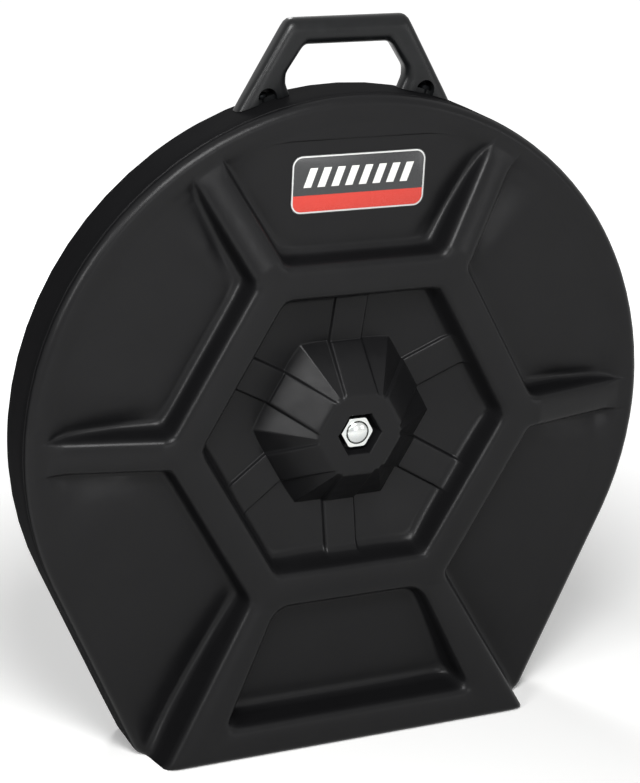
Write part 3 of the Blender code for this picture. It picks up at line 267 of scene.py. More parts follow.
# Depths of a sunk panel against the distance in from the rim: along its middle, beside a spoke and beside a
# leg. Beside a spoke the floor sinks to its full depth only some way out from the ring.
CROWN_LINE = ((0, 8, 11, 17, 24, 34, 44, 136), (21, 21, 21.1, 22, 23.3, 24.2, 24.6, 27.2))
SPOKE_LINE = ((0, 8, 13, 18, 27, 37, 47, 59, 80), (21, 21.2, 21.7, 23.3, 29, 33.7, 36, 37, 37.2))
LEG_LINE = ((0, 8, 13, 20, 32, 45, 70, 110), (21, 21.2, 21.8, 23.5, 27, 29.5, 32.5, 34))
HOLLOW_FLOOR = 28.5
HOLLOW_START = -6.0
HOLLOW_END = 42.0
HOLLOW_REACH = 30.0
HOLLOW_WIDENING = 25.0
HOLLOW_LENGTH = 110.0

COS30 = math.cos(math.radians(30))
SIN30 = 0.5
TAN30 = math.tan(math.radians(30))


def place(x, depth, height):
    """Point of the row frame, in metres, for a plan point and a depth in mm."""
    return np.stack([x, depth - DEPTH_CENTRE, height + POST_HEIGHT], axis=-1) * MM


def lay(plan, depth):
    """Points of the row frame over plan points, at one depth or at one for each."""
    return place(plan[:, 0], np.broadcast_to(depth, len(plan)), plan[:, 1])


def ramp(value, low, high):
    """Share of the way from a low value to a high one, held at 0 and 1."""
    return np.clip((value - low) / (high - low), 0.0, 1.0)


def ease(share):
    """The share with a soft start and end."""
    return share * share * (3 - 2 * share)


def mix(a, b, share):
    """Value a share of the way from a to b."""
    return a + (b - a) * share


def soft_min(a, b, reach):
    """Smaller of two distances, with the corner between them rounded over a reach."""
    near = np.maximum(reach - np.abs(a - b), 0.0)
    return np.minimum(a, b) - near * near / reach / 4


def inset_of(x, z):
    """How far a plan point lies inside the outline."""
    side = np.abs(x)
    sine, cosine = math.sin(TAPER), math.cos(TAPER)
    tapered = RIM - (side * cosine - z * sine)
    round_part = RIM - np.hypot(side, z)
    inset = np.where(z * cosine > -side * sine, round_part, tapered)
    inset = np.minimum(inset, POST_HEIGHT + z)
    centre_z = BASE_CORNER - POST_HEIGHT
    centre_x = (RIM - BASE_CORNER + centre_z * sine) / cosine
    out_x, out_z = side - centre_x, z - centre_z
    in_corner = (out_x > 0) & (out_z < -out_x * math.tan(TAPER))
    return np.where(in_corner, BASE_CORNER - np.hypot(out_x, out_z), inset)


def moulded_wall(distance, top, floor, draft, edge, foot):
    """Depth over a drafted wall with a rounded top edge and foot, at a distance in from its top line."""
    rise = np.maximum(floor - top, 0.0)
    tangent = math.tan((math.pi / 2 - draft) / 2)
    length = (edge + foot) * tangent
    scale = np.minimum(1.0, rise / math.cos(draft) / length)
    edge, foot = edge * scale + 1e-6, foot * scale + 1e-6
    edge_run, foot_run = edge * tangent, foot * tangent
    foot_line = rise * math.tan(draft)
    over = top + edge - np.sqrt(np.maximum(edge ** 2 - np.clip(distance + edge_run, 0, edge) ** 2, 0.0))
    straight = top + distance / math.tan(draft)
    inner = np.clip(foot_line + foot_run - distance, 0, foot)
    under = floor - foot + np.sqrt(np.maximum(foot ** 2 - inner ** 2, 0.0))
    depth = np.where(distance < edge_run * math.sin(draft), over, straight)
    depth = np.where(distance > foot_line - foot_run * math.sin(draft), under, depth)
    depth = np.where(distance > foot_line + foot_run, floor, depth)
    return np.where(distance < -edge_run, top, depth)


class Skin:
    """Depth of the front shell's moulded face; a thickness above 0 gives the inside of its wall."""

    def __init__(self, thickness):
        self.thickness = thickness
        self.edge = max(TOP_EDGE - thickness, 0.5)
        self.foot = FLOOR_EDGE + thickness

    def wall(self, distance, top, floor, draft):
        """A wall of the face; its inside lies a thickness further into the plastic."""
        shift = self.thickness * (1 / math.cos(draft) - math.tan(draft))
        crown = TOP_CROWN * np.clip(1 + distance / TOP_HALF, 0, 1) ** 2 * ramp(floor - top, 2, 12)
        top = top + crown + self.thickness
        return moulded_wall(distance + shift, top, floor, draft, self.edge, self.foot)

    def boss(self, apothem, along, x, z):
        """Plate, sloping faces, bands and floor of the sunk hexagon."""
        over = np.clip(along - BAND_HALF + BAND_ROUNDING, 0, BAND_ROUNDING) / BAND_ROUNDING
        rounded = BAND_ROUNDED_SHARE * (1 - np.sqrt(1 - over * over))
        band = 1 - rounded - (1 - BAND_ROUNDED_SHARE) * ramp(along, BAND_HALF, BAND_HALF + BAND_STEP)
        down = (apothem - PLATE) / (BOSS_FOOT - PLATE)
        face = mix(PLATE_DEPTH + BAND_RISE_AT_PLATE, BOSS_FOOT_DEPTH, down)
        face = face - mix(BAND_RISE_AT_PLATE, BAND_RISE_AT_FOOT, np.clip(down, 0, 1)) * band
        face = face + BOSS_FOOT_STEP * ramp(apothem, BOSS_FOOT, BOSS_FOOT + BOSS_FOOT_STEP_RUN)
        angles = np.radians(30 + 60 * np.arange(6))
        sides = [np.maximum(x * math.cos(a) + z * math.sin(a), 0.0) for a in angles]
        round_hexagon = sum(side ** RECESS_ROUNDNESS for side in sides) ** (1 / RECESS_ROUNDNESS)
        share = (RECESS_WALL_FOOT - round_hexagon) / (RECESS_WALL_FOOT - BOSS_FOOT)
        floor = mix(RECESS_WALL_FOOT_DEPTH, BOSS_FOOT_DEPTH + RECESS_FLOOR_SINK, np.clip(share, -0.3, 1.2))
        body = soft_min(face, floor - BAND_RISE_ON_FLOOR * band, BOSS_FOOT_FILLET)
        slope = (BOSS_FOOT_DEPTH - PLATE_DEPTH) / (BOSS_FOOT - PLATE)
        body = body + self.thickness * (math.hypot(1, slope) - 1) * ramp(BOSS_FOOT - apothem, -4, 4)
        return -soft_min(-body, np.full_like(body, -PLATE_DEPTH), PLATE_EDGE)

    def middle(self, apothem, along, x, z):
        """Depth inside the hexagon ring."""
        floor = self.boss(apothem, along, x, z) + self.thickness
        next_side = RECESS_TOP - (apothem * SIN30 + along * COS30)
        distance = soft_min(RECESS_TOP - apothem, next_side, RECESS_CORNER)
        depth = self.wall(distance, 0.0, floor, RECESS_DRAFT)
        pocket = moulded_wall(NUT_POCKET - apothem + self.thickness, PLATE_DEPTH + self.thickness,
                              NUT_POCKET_FLOOR + self.thickness, NUT_POCKET_DRAFT, NUT_POCKET_EDGE,
                              NUT_POCKET_FILLET)
        return np.where(apothem < PLATE_INSIDE, pocket, depth)

    def panel_floor(self, x, z, apothem, gap, leg):
        """Depth of a sunk panel's floor: nearly flat along its middle, hollow beside its spokes."""
        inset = inset_of(x, z)
        beyond = apothem - RING_OUTER
        crown = np.interp(inset, *CROWN_LINE)
        deep = mix(np.interp(inset, *SPOKE_LINE), np.interp(inset, *LEG_LINE), leg)
        grown = ease(ramp(beyond, HOLLOW_START, HOLLOW_END))
        hollow = np.where(deep > HOLLOW_FLOOR, mix(HOLLOW_FLOOR, deep, grown), deep)
        reach = HOLLOW_REACH + HOLLOW_WIDENING * ramp(beyond, 0, HOLLOW_LENGTH)
        return mix(crown, np.maximum(hollow, crown), np.clip(1 - gap / reach, 0, 1) ** 2)

    def panel(self, x, z, apothem, across, sector):
        """Depth of a sunk panel and the raised spokes at its sides."""
        along = np.abs(across)
        leg_side = {3: 1, 5: -1}.get(sector, 0)
        leg = np.where((np.sign(across) == leg_side) & (leg_side != 0), 1.0, 0.0)
        near_half = np.where(leg > 0, LEG_OUTER, SPOKE_HALF)
        far_half = np.where((leg_side != 0) & (leg < 0.5), LEG_OUTER, SPOKE_HALF)
        near = apothem * SIN30 - along * COS30 - near_half
        far = apothem * SIN30 + along * COS30 - far_half
        ring = apothem - RING_OUTER
        distance = soft_min(soft_min(ring, near, PANEL_CORNER), far, PANEL_CORNER)
        axial = apothem * COS30 + along * SIN30
        spoke_top = SPOKE_END_DEPTH * ramp(axial, SPOKE_RAMP_START, SPOKE_RAMP_END)
        leg_top = FOOT_FRONT * ramp(-z, RING_OUTER, POST_HEIGHT)
        top = np.where(leg > 0, leg_top, spoke_top)
        floor = self.panel_floor(x, z, apothem, np.maximum(np.minimum(near, far), 0.0), leg)
        top = soft_min(top, floor, SPOKE_END_BLEND)
        if sector == PAD_SECTOR:
            floor = self.pad(x, z, floor)
        return self.wall(distance, top, floor + self.thickness, DRAFT)

    def pad(self, x, z, floor):
        """Flat pad under the label: flush at its lower edge, a step down at its upper one."""
        share = (z - PAD_BOTTOM) / (PAD_TOP - PAD_BOTTOM)
        flat = mix(PAD_BOTTOM_DEPTH, PAD_TOP_DEPTH, share)
        inside = ease(ramp(PAD_HALF + PAD_SIDE_OUT - np.abs(x), 0, PAD_SIDE_RUN))
        inside = inside * ease(ramp(z, PAD_BOTTOM - PAD_FOOT_OUT, PAD_BOTTOM + PAD_FOOT_IN))
        return mix(floor, flat, inside * ramp(PAD_TOP + PAD_STEP_OUT - z, 0, PAD_STEP_RUN))

    def foot_window(self, x, height):
        """Depth of the legs, the foot and the sunk window between them."""
        along = np.abs(x)
        side = WINDOW_TOP_HALF + (height - WINDOW_TOP) * WINDOW_LEAN
        distance = soft_min(height - WINDOW_TOP, WINDOW_BOTTOM - height, WINDOW_CORNER)
        distance = soft_min(distance, (side - along) * math.cos(math.atan(WINDOW_LEAN)), WINDOW_CORNER)
        top = FOOT_FRONT * ramp(height, RING_OUTER, POST_HEIGHT)
        return self.wall(distance, top, WINDOW_FLOOR + self.thickness, DRAFT)


def sector_frame(sector):
    """Unit vectors along a sector's middle line and across it, anticlockwise."""
    angle = math.radians(60 * sector + 30)
    return np.array([math.cos(angle), math.sin(angle)]), np.array([-math.sin(angle), math.cos(angle)])


def by_sector(points, sectors):
    """For each sector: its points, their x and z, and their places along and across its middle line."""
    for sector in range(6):
        middle, across = sector_frame(sector)
        picked = sectors == sector
        yield sector, picked, *points[picked].T, points[picked] @ middle, points[picked] @ across


# Columns of the face's mesh lie close together along the edges of the bands and of the spokes. A row inside
# the ring takes its columns from the ring's middle, and its corners are cut where the boss's plate has them.
BAND_COLUMNS = np.array([0, 7, 13, 13.9, 14.6, 15.2, 15.6, 15.8, 16.4, 17.0, 17.6, 20])
SPOKE_COLUMNS = np.array([26, 22, 20, 18.7, 17.5, 16.5, 15.5, 14.5, 13.5, 12.5, 11, 8, 4, 0])
LEG_COLUMNS = np.array([26, 21, 17.5, 15, 13, 11.4, 10, 8.8, 7.8, 6.8, 5.6, 4, 2, 0])
WINDOW_COLUMNS = np.array([30, 26.5, 24.3, 22.6, 21.2, 20, 19, 18, 17, 16, 14, 10, 5, 0])
WINDOW_EDGE_COLUMN = 18
SPREAD_COLUMNS = 4
MIDDLE_RING = 143.0
HALF = len(BAND_COLUMNS) + SPREAD_COLUMNS + len(SPOKE_COLUMNS)
CUT_CORNER = 1.107
CUT_CORNER_START = 19.0
CUT_CORNER_FULL = 30.0
CUT_CORNER_END = 47.0
PLATE_BEND = PLATE * (CUT_CORNER - COS30) / SIN30
PLATE_REACH = PLATE_BEND + math.hypot(PLATE * (1 - CUT_CORNER * COS30),
                                      PLATE_BEND - PLATE * CUT_CORNER * SIN30)


def spoke_gaps(sector, side, apothem):
    """Distances of a sector's outer columns from the middle of the spoke at one side."""
    if sector == FOOT_SECTOR:
        edge = WINDOW_TOP_HALF + (apothem - WINDOW_TOP) * WINDOW_LEAN
        return WINDOW_COLUMNS / WINDOW_EDGE_COLUMN * (apothem * TAN30 - edge) * COS30
    leg = (sector == 3 and side > 0) or (sector == 5 and side < 0)
    return LEG_COLUMNS if leg else SPOKE_COLUMNS


def outer_offsets(sector, side, apothem):
    """Offsets of one half's columns from the sector's middle line, where the spokes' edges show."""
    end = apothem * TAN30
    edges = end - spoke_gaps(sector, side, apothem) / COS30
    first = BAND_COLUMNS[-1]
    spread = first + (edges[0] - first) * np.arange(1, SPREAD_COLUMNS + 1) / (SPREAD_COLUMNS + 1)
    return np.concatenate([BAND_COLUMNS, spread, edges])


def half_row(sector, side, apothem, corner):
    """Points (apothem, offset) of half a hexagonal row whose corner is cut at a distance from the post."""
    if apothem >= MIDDLE_RING:
        offsets = outer_offsets(sector, side, apothem)
        return np.full(HALF, float(apothem)), offsets
    bend = (corner - apothem * COS30) / SIN30
    cut = math.hypot(apothem - corner * COS30, bend - corner * SIN30)
    whole = bend + cut
    reference = outer_offsets(sector, side, MIDDLE_RING)
    first = len(BAND_COLUMNS)
    shares = (reference[first:] - BAND_COLUMNS[-1]) / (reference[-1] - BAND_COLUMNS[-1])
    bands = BAND_COLUMNS * min(1.0, whole / PLATE_REACH)
    walked = np.concatenate([bands, bands[-1] + (whole - bands[-1]) * shares])
    on_cut = np.clip((walked - bend) / max(cut, 1e-9), 0, 1)
    straight = np.minimum(walked, bend)
    along = np.where(walked > bend, mix(bend, corner * SIN30, on_cut), straight)
    away = np.where(walked > bend, mix(apothem, corner * COS30, on_cut), apothem)
    return away, along


def full_row(maker, *sizes):
    """Plan points of a whole row, anticlockwise from the right spoke, and the sector of each."""
    points, sectors = [], []
    for sector in range(6):
        middle, across = sector_frame(sector)
        for side in (-1, 1):
            away, along = maker(sector, side, *sizes)
            half = away[:, None] * middle + side * along[:, None] * across
            half = half[:0:-1] if side < 0 else half[:-1]
            points.append(half)
            sectors += [sector] * len(half)
    return np.concatenate(points), np.array(sectors)


def corner_ratio(apothem):
    """How far a row's corners are cut: most at the boss's plate, not at all elsewhere."""
    if apothem < CUT_CORNER_FULL:
        return mix(1 / COS30, CUT_CORNER, ease(ramp(apothem, CUT_CORNER_START, CUT_CORNER_FULL)))
    return mix(CUT_CORNER, 1 / COS30, ease(ramp(apothem, PLATE, CUT_CORNER_END)))


# Rows are hexagons at these distances from the post up to the panels' start, and then shares of the way to
# the last straight inset from the rim. One of them lies along the label pad's upper edge.
PANEL_START = 173.0
HEXAGON_ROWS = [12, 15.5, 17.4, 18, 18.35, 18.65, 18.9, 19.15, 19.45, 19.8, 20.3, 21.2, 24, 28, 31.5, 33.4,
                34.2, 34.8, 35.3, 35.7, 36.2, 36.7, 37.1, 37.5, 37.9, 38.4, 39.2, 41, 45, 50, 55, 60, 65,
                69, 71.5, 73.3, 74.2, 74.8, 75.3, 75.8, 76.3, 76.8, 77.4, 78.4, 81, 87, 93, 99, 105, 110,
                113.5, 115.1, 116.6, 118, 119.2, 120.2, 121, 121.7, 122.3, 122.9, 124.2, 125.6, 126.8,
                127.6, 127.95, 128.35, 128.8, 129.4, 130.2, 131.1, 132.4, 134.5, 138.5, MIDDLE_RING, 148.5,
                152, 154.2, 155.7, 156.5, 157.2, 157.8, 158.3, 158.7, 159.1, 160, 161, 161.9, 162.4, 162.9,
                163.5, 164.3, 165.4, 166.8, 168.6, 170.6, PANEL_START]
LAST_STRAIGHT = 24.0
PANEL_ROWS = (0.05, 0.11, 0.17, 0.24, 0.31, 0.38, 0.45, 0.52, 0.59, 0.66, 0.72, 0.775, 0.82, 0.85, 0.874,
              0.8795, 0.885, 0.90, 0.912, 0.922, 0.932, 0.94, 0.948, 0.958, 0.972, 0.985, 1.0)
PAD_ROW = 0.8795
PAD_ROW_LIMITS = (0.8, 0.985)
PAD_ROW_BEND = (86.0, 120.0)
RIM_ROWS = (21.0, 18.0, 15.5, 13.2, 11.2, 9.6, 8.0)
EDGE_ROWS = 8
INSIDE_ROWS = (9.0, 11.0, 13.5, 17.0, 21.0)
REACH_LIMIT = 400.0
REACH_STEPS = 40


def reach_inset(start, heading, inset):
    """Points along straight columns where the outline is an inset away."""
    low = np.zeros(len(start))
    high = np.full(len(start), REACH_LIMIT)
    for _ in range(REACH_STEPS):
        half = (low + high) / 2
        probe = start + heading * half[:, None]
        inside = inset_of(probe[:, 0], probe[:, 1]) > inset
        low = np.where(inside, half, low)
        high = np.where(inside, high, half)
    return start + heading * low[:, None]


def far_ends(start, sectors, apothem, first_gap_of, inset, foot=None):
    """Where the panels' columns end, at an inset; outer ones stay beside their spoke, the others fan out."""
    ends = np.empty_like(start)
    for sector in range(6):
        middle, across = sector_frame(sector)
        for side in (-1, 1):
            spoke = math.radians(60 * sector + (60 if side > 0 else 0))
            heading = np.array([math.cos(spoke), math.sin(spoke)])
            picked = np.where(sectors == sector)[0]
            offset = (start[picked] @ across) * side
            picked = picked[offset >= -1e-6]
            offset = np.maximum(offset[offset >= -1e-6], 0.0)
            gap = apothem * SIN30 - offset * COS30
            first_gap = first_gap_of(sector, side)
            first_offset = apothem * TAN30 - first_gap / COS30
            outer = gap < first_gap + 0.01
            if sector == foot:
                end = POST_HEIGHT - inset
                end_gap = spoke_gaps(sector, side, end)[0]
                beside = end * TAN30 - gap * end_gap / first_gap / COS30
                spread = (end * TAN30 - end_gap / COS30) * offset / first_offset
                ends[picked] = end * middle + side * np.where(outer, beside, spread)[:, None] * across
                continue
            beside = reach_inset(start[picked], np.tile(heading, (len(picked), 1)), inset)
            first_start = apothem * middle + side * first_offset * across
            first_end = reach_inset(first_start[None], heading[None], inset)[0]
            turn = math.atan2(first_end @ across, first_end @ middle)
            angle = turn * offset / first_offset
            rays = np.cos(angle)[:, None] * middle + np.sin(angle)[:, None] * across
            fanned = reach_inset(np.zeros((len(picked), 2)), rays, inset)
            ends[picked] = np.where(outer[:, None], beside, fanned)
    return ends


def panel_row(start, ends, share):
    """Row across the panels; in the top panel it bends to lie along the label pad's upper edge."""
    pad_share = (PAD_TOP - PANEL_START) / (ends[:, 1] - PANEL_START + 1e-9)
    wanted = mix(pad_share, PAD_ROW, ease(ramp(np.abs(ends[:, 0]), *PAD_ROW_BEND)))
    in_top = (start[:, 1] > PANEL_START - 0.01) & (np.abs(start[:, 0]) < PANEL_START * TAN30 - 1)
    wanted = np.where(in_top, np.clip(wanted, *PAD_ROW_LIMITS), PAD_ROW)
    if share <= PAD_ROW:
        moved = share * wanted / PAD_ROW
    else:
        moved = 1 - (1 - share) * (1 - wanted) / (1 - PAD_ROW)
    return start + (ends - start) * moved[:, None]


def face_depth(skin, points, sectors):
    """Depth of the moulded face at plan points."""
    depth = np.zeros(len(points))
    for sector, picked, x, z, apothem, offset in by_sector(points, sectors):
        if sector == FOOT_SECTOR:
            outside = skin.foot_window(x, apothem)
        else:
            outside = skin.panel(x, z, apothem, offset, sector)
        inside = skin.middle(apothem, np.abs(offset), x, z)
        depth[picked] = np.where(apothem < MIDDLE_RING, inside, outside)
    return depth


def bore_row(radius, like):
    """Round row that has the columns of another one."""
    return like / np.linalg.norm(like, axis=1)[:, None] * radius


def outer_side(depth, inset, edge_share):
    """Extra depth over the rounded edge between the face and the side."""
    radius = mix(FOOT_EDGE, RIM_EDGE, edge_share)
    within = np.clip(radius - inset, 0, radius)
    return depth + radius - np.sqrt(radius ** 2 - within ** 2)


def plan_rows():
    """Plan points of all rows from the bore to the last straight inset, and each column's sector."""
    rows = []
    for apothem in HEXAGON_ROWS:
        points, sectors = full_row(half_row, apothem, apothem * corner_ratio(apothem))
        rows.append(points)
    start = rows[-1]

    def first_gap(sector, side):
        return spoke_gaps(sector, side, PANEL_START)[0]

    ends = far_ends(start, sectors, PANEL_START, first_gap, LAST_STRAIGHT, FOOT_SECTOR)
    rows += [panel_row(start, ends, share) for share in PANEL_ROWS]
    heading = ends - start
    heading /= np.linalg.norm(heading, axis=1)[:, None]
    return [bore_row(POST_BORE, rows[0]), bore_row(POST_BORE + 1.2, rows[0])] + rows, sectors, ends, heading


def front_rows():
    """Rows of the closed front shell: outside from bore to seam, then lip and inside back to the bore."""
    plans, sectors, ends, heading = plan_rows()
    outer, inner = Skin(0.0), Skin(WALL)
    made = [lay(p, face_depth(outer, p, sectors)) for p in plans]
    face = face_depth(outer, reach_inset(ends, heading, RIM_EDGE), sectors)
    edge_share = ramp(face, FOOT_EDGE_DEPTH, RIM_EDGE_DEPTH)
    insets = list(RIM_ROWS) + [RIM_EDGE * (1 - math.sin(math.pi / 2 * i / EDGE_ROWS))
                               for i in range(1, EDGE_ROWS + 1)]
    for inset in insets:
        outline = reach_inset(ends, heading, inset)
        side_depth = outer_side(face_depth(outer, outline, sectors), inset, edge_share)
        made.append(lay(outline, side_depth))
    made += [lay(outline, mix(side_depth, SEAM - SEAM_EDGE, share)) for share in (0.25, 0.5, 0.75, 1.0)]
    lip_out, lip_end = WALL + LIP_GAP, SEAM + LIP_HEIGHT
    lip_in = lip_out + LIP_THICKNESS
    for inset, depth in ((SEAM_EDGE * 0.3, SEAM - SEAM_EDGE * 0.3), (SEAM_EDGE, SEAM), (lip_out, SEAM),
                         (lip_out, lip_end - LIP_EDGE), (lip_out + LIP_EDGE, lip_end),
                         (lip_in - LIP_EDGE, lip_end), (lip_in, lip_end - LIP_EDGE)):
        made.append(lay(reach_inset(ends, heading, inset), depth))
    below = face + WALL
    for foot_inset, foot_depth, rim_depth in (
            (lip_in, SEAM - 3.5, SEAM - 3.0), (WALL, SEAM - 6.0, SEAM - 3.6),
            (WALL, below + 3.0, SEAM - 4.2), (WALL + 1.2, below + 0.8, SEAM - 4.6)):
        inside = reach_inset(ends, heading, mix(foot_inset, lip_in, edge_share))
        made.append(lay(inside, mix(foot_depth, rim_depth, edge_share)))
    inside = [reach_inset(ends, heading, inset) for inset in INSIDE_ROWS] + plans[::-1]
    return made + [lay(p, face_depth(inner, p, sectors)) for p in inside]


MERGE_REACH = 0.02


def ring_mesh(name, rows):
    """Closed mesh whose rows run round the case; the last row joins the first."""
    points = np.concatenate(rows)
    count = len(rows[0])
    here = np.arange(len(rows))[:, None] * count
    there = (np.arange(len(rows))[:, None] + 1) % len(rows) * count
    column = np.arange(count)[None]
    after = (column + 1) % count
    faces = np.stack([here + column, here + after, there + after, there + column], axis=-1).reshape(-1, 4)
    mesh = bpy.data.meshes.new(name)
    mesh.from_pydata(points.tolist(), [], faces.tolist())
    mesh.validate()
    bm = bmesh.new()
    bm.from_mesh(mesh)
    bmesh.ops.remove_doubles(bm, verts=bm.verts, dist=MERGE_REACH * MM)
    bmesh.ops.dissolve_degenerate(bm, edges=bm.edges, dist=MERGE_REACH * MM / 2)
    bmesh.ops.recalc_face_normals(bm, faces=bm.faces)
    bm.to_mesh(mesh)
    bm.free()
    mesh.shade_smooth()
    return put(name, mesh)


SHELL_DARK = "#0f0f10"
SHELL_LIGHT = "#151516"
SIDE_FULL = 0.20
SIDE_NONE = 0.58
SIDE_ROUGHNESS = 0.75
FACE_GLOSS = 0.14
SIDE_GLOSS = 0.008


def moulded_polyethylene(name, dark, light):
    """Satin polyethylene from a rotational mould: pebbled grain, faint mottling and scuffs.

    The mould's grain, about 0.3 mm, is drawn at 1.1 mm so that it shows. The walls that run along the
    mould's draw are duller than the face."""
    material, tree, spot = start_material(name)
    cloud = node(tree, "TexNoise", Vector=spot, Scale=1 / (60 * MM), Detail=4.0, Roughness=0.6)
    colour = node(tree, "Mix", {"data_type": "RGBA"}, _0=cloud, _6=linear(dark), _7=linear(light))
    pebbles = node(tree, "TexNoise", Vector=spot, Scale=1 / (1.1 * MM), Detail=2.0, Roughness=0.55)
    ripples = node(tree, "TexNoise", Vector=spot, Scale=1 / (22 * MM), Detail=1.0)
    coarse = node(tree, "Bump", Strength=0.5, Distance=0.6 * MM, Height=ripples)
    grain = node(tree, "Bump", Strength=0.55, Distance=0.12 * MM, Height=pebbles, Normal=coarse)
    scuffs = node(tree, "TexNoise", Vector=spot, Scale=1 / (12 * MM), Detail=6.0, Roughness=0.7)
    rough = node(tree, "MapRange", _0=scuffs, _1=0.3, _2=0.7, _3=0.29, _4=0.37)
    facing = node(tree, "SeparateXYZ", Vector=node(tree, "NewGeometry").outputs["Normal"]).outputs["Y"]
    facing = node(tree, "Math", {"operation": "ABSOLUTE"}, _0=facing)
    side = node(tree, "MapRange", _0=facing, _1=SIDE_FULL, _2=SIDE_NONE, _3=1.0, _4=0.0)
    rough = node(tree, "Mix", {"data_type": "FLOAT"}, _0=side, _2=rough, _3=SIDE_ROUGHNESS)
    gloss = node(tree, "MapRange", _0=side, _3=FACE_GLOSS, _4=SIDE_GLOSS)
    shader = node(tree, "BsdfPrincipled", Base_Color=colour.outputs[2], Roughness=rough, IOR=1.51,
                  Specular_IOR_Level=gloss, Normal=grain)
    node(tree, "OutputMaterial", Surface=shader)
    return material


shell_plastic = moulded_polyethylene("moulded_black_polyethylene", SHELL_DARK, SHELL_LIGHT)
front_shell = ring_mesh("front_shell_moulding", front_rows())
front_shell.data.materials.append(shell_plastic)
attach(front_shell, "front_body")
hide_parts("front_shell")


# Rear shell
# The back of the case is a second polyethylene moulding, deeper than the face. Six shallow panels and a
# round pocket for the knob stiffen it, and its rim closes against the front shell at the seam.

REAR_SEAM = 30.3
SEAM_SLOT = 31.9
SEAM_SLOT_FLOOR = 2.8
SLOT_EDGE = 0.25
BACK_PLANE = 85.0
BACK_HEXAGON = 70.0
BACK_SPOKE_HALF = 14.5
BACK_RIM = 30.0
BACK_PANEL_DEPTH = 7.0
BACK_DRAFT = math.radians(20)
BACK_CORNER = 14.0
BACK_EDGE = 2.5
BACK_FILLET = 4.0
KNOB_POCKET = 46.0
KNOB_POCKET_DEPTH = 20.0
REAR_BORE = 6.3
BACK_FAN_START = 86.0
BACK_LAST_STRAIGHT = 38.0
BACK_COLUMNS = np.array([24, 20.5, 19, 18, 17.2, 16.5, 15.8, 15.1, 14.4, 13.6, 12, 8, 4, 0])
BACK_MIDDLE_COLUMNS = 5
KNOB_POCKET_ROWS = [7, 12, 20, 30, 38, 41.5, 43, 44, 44.8, 45.5, 46.1, 46.7, 47.5, 48.1, 48.5, 48.9, 49.3,
                    49.7, 50.2, 50.8, 51.6, 52.8]
BACK_ROWS = [60, 66, 68, 69, 69.6, 70.1, 70.6, 71.2, 71.9, 72.5, 73.1, 73.8, 74.8, 76.2, 78.5, 82,
             BACK_FAN_START]
BACK_PANEL_ROWS = [0.12, 0.25, 0.4, 0.55, 0.7, 0.85, 1.0]
BACK_RIM_ROWS = [36, 34.8, 33.8, 33.1, 32.5, 31.9, 31.3, 30.7, 30.1, 29.5, 28.8, 26, 21, 15, 11, RIM_EDGE]


def back_recess(points, sectors, thickness):
    """How far the back lies in from its outer plane; a thickness above 0 gives the inside of its wall."""
    recess = np.zeros(len(points))
    edge, fillet = max(BACK_EDGE - thickness, 0.5), BACK_FILLET + thickness
    for _sector, picked, x, z, apothem, offset in by_sector(points, sectors):
        spoke = apothem * SIN30 - np.abs(offset) * COS30 - BACK_SPOKE_HALF
        distance = soft_min(apothem - BACK_HEXAGON, spoke, BACK_CORNER)
        distance = soft_min(distance, inset_of(x, z) - BACK_RIM, BACK_CORNER)
        distance = distance + thickness * (1 / math.cos(BACK_DRAFT) - math.tan(BACK_DRAFT))
        panel = moulded_wall(distance, thickness, BACK_PANEL_DEPTH + thickness, BACK_DRAFT, edge, fillet)
        inward = KNOB_POCKET + KNOB_POCKET_DEPTH * math.tan(DRAFT) - np.hypot(x, z)
        inward = inward + thickness * (1 / math.cos(DRAFT) - math.tan(DRAFT))
        pocket = moulded_wall(inward, thickness, KNOB_POCKET_DEPTH + thickness, DRAFT, edge, fillet)
        recess[picked] = np.maximum(panel, pocket)
    return recess


def back_row(_sector, _side, apothem):
    """Points of half a hexagonal row of the back, with close columns along the spokes' edges."""
    edges = apothem * TAN30 - BACK_COLUMNS / COS30
    offsets = np.concatenate([edges[0] * np.arange(BACK_MIDDLE_COLUMNS) / BACK_MIDDLE_COLUMNS, edges])
    return np.full(len(offsets), float(apothem)), offsets


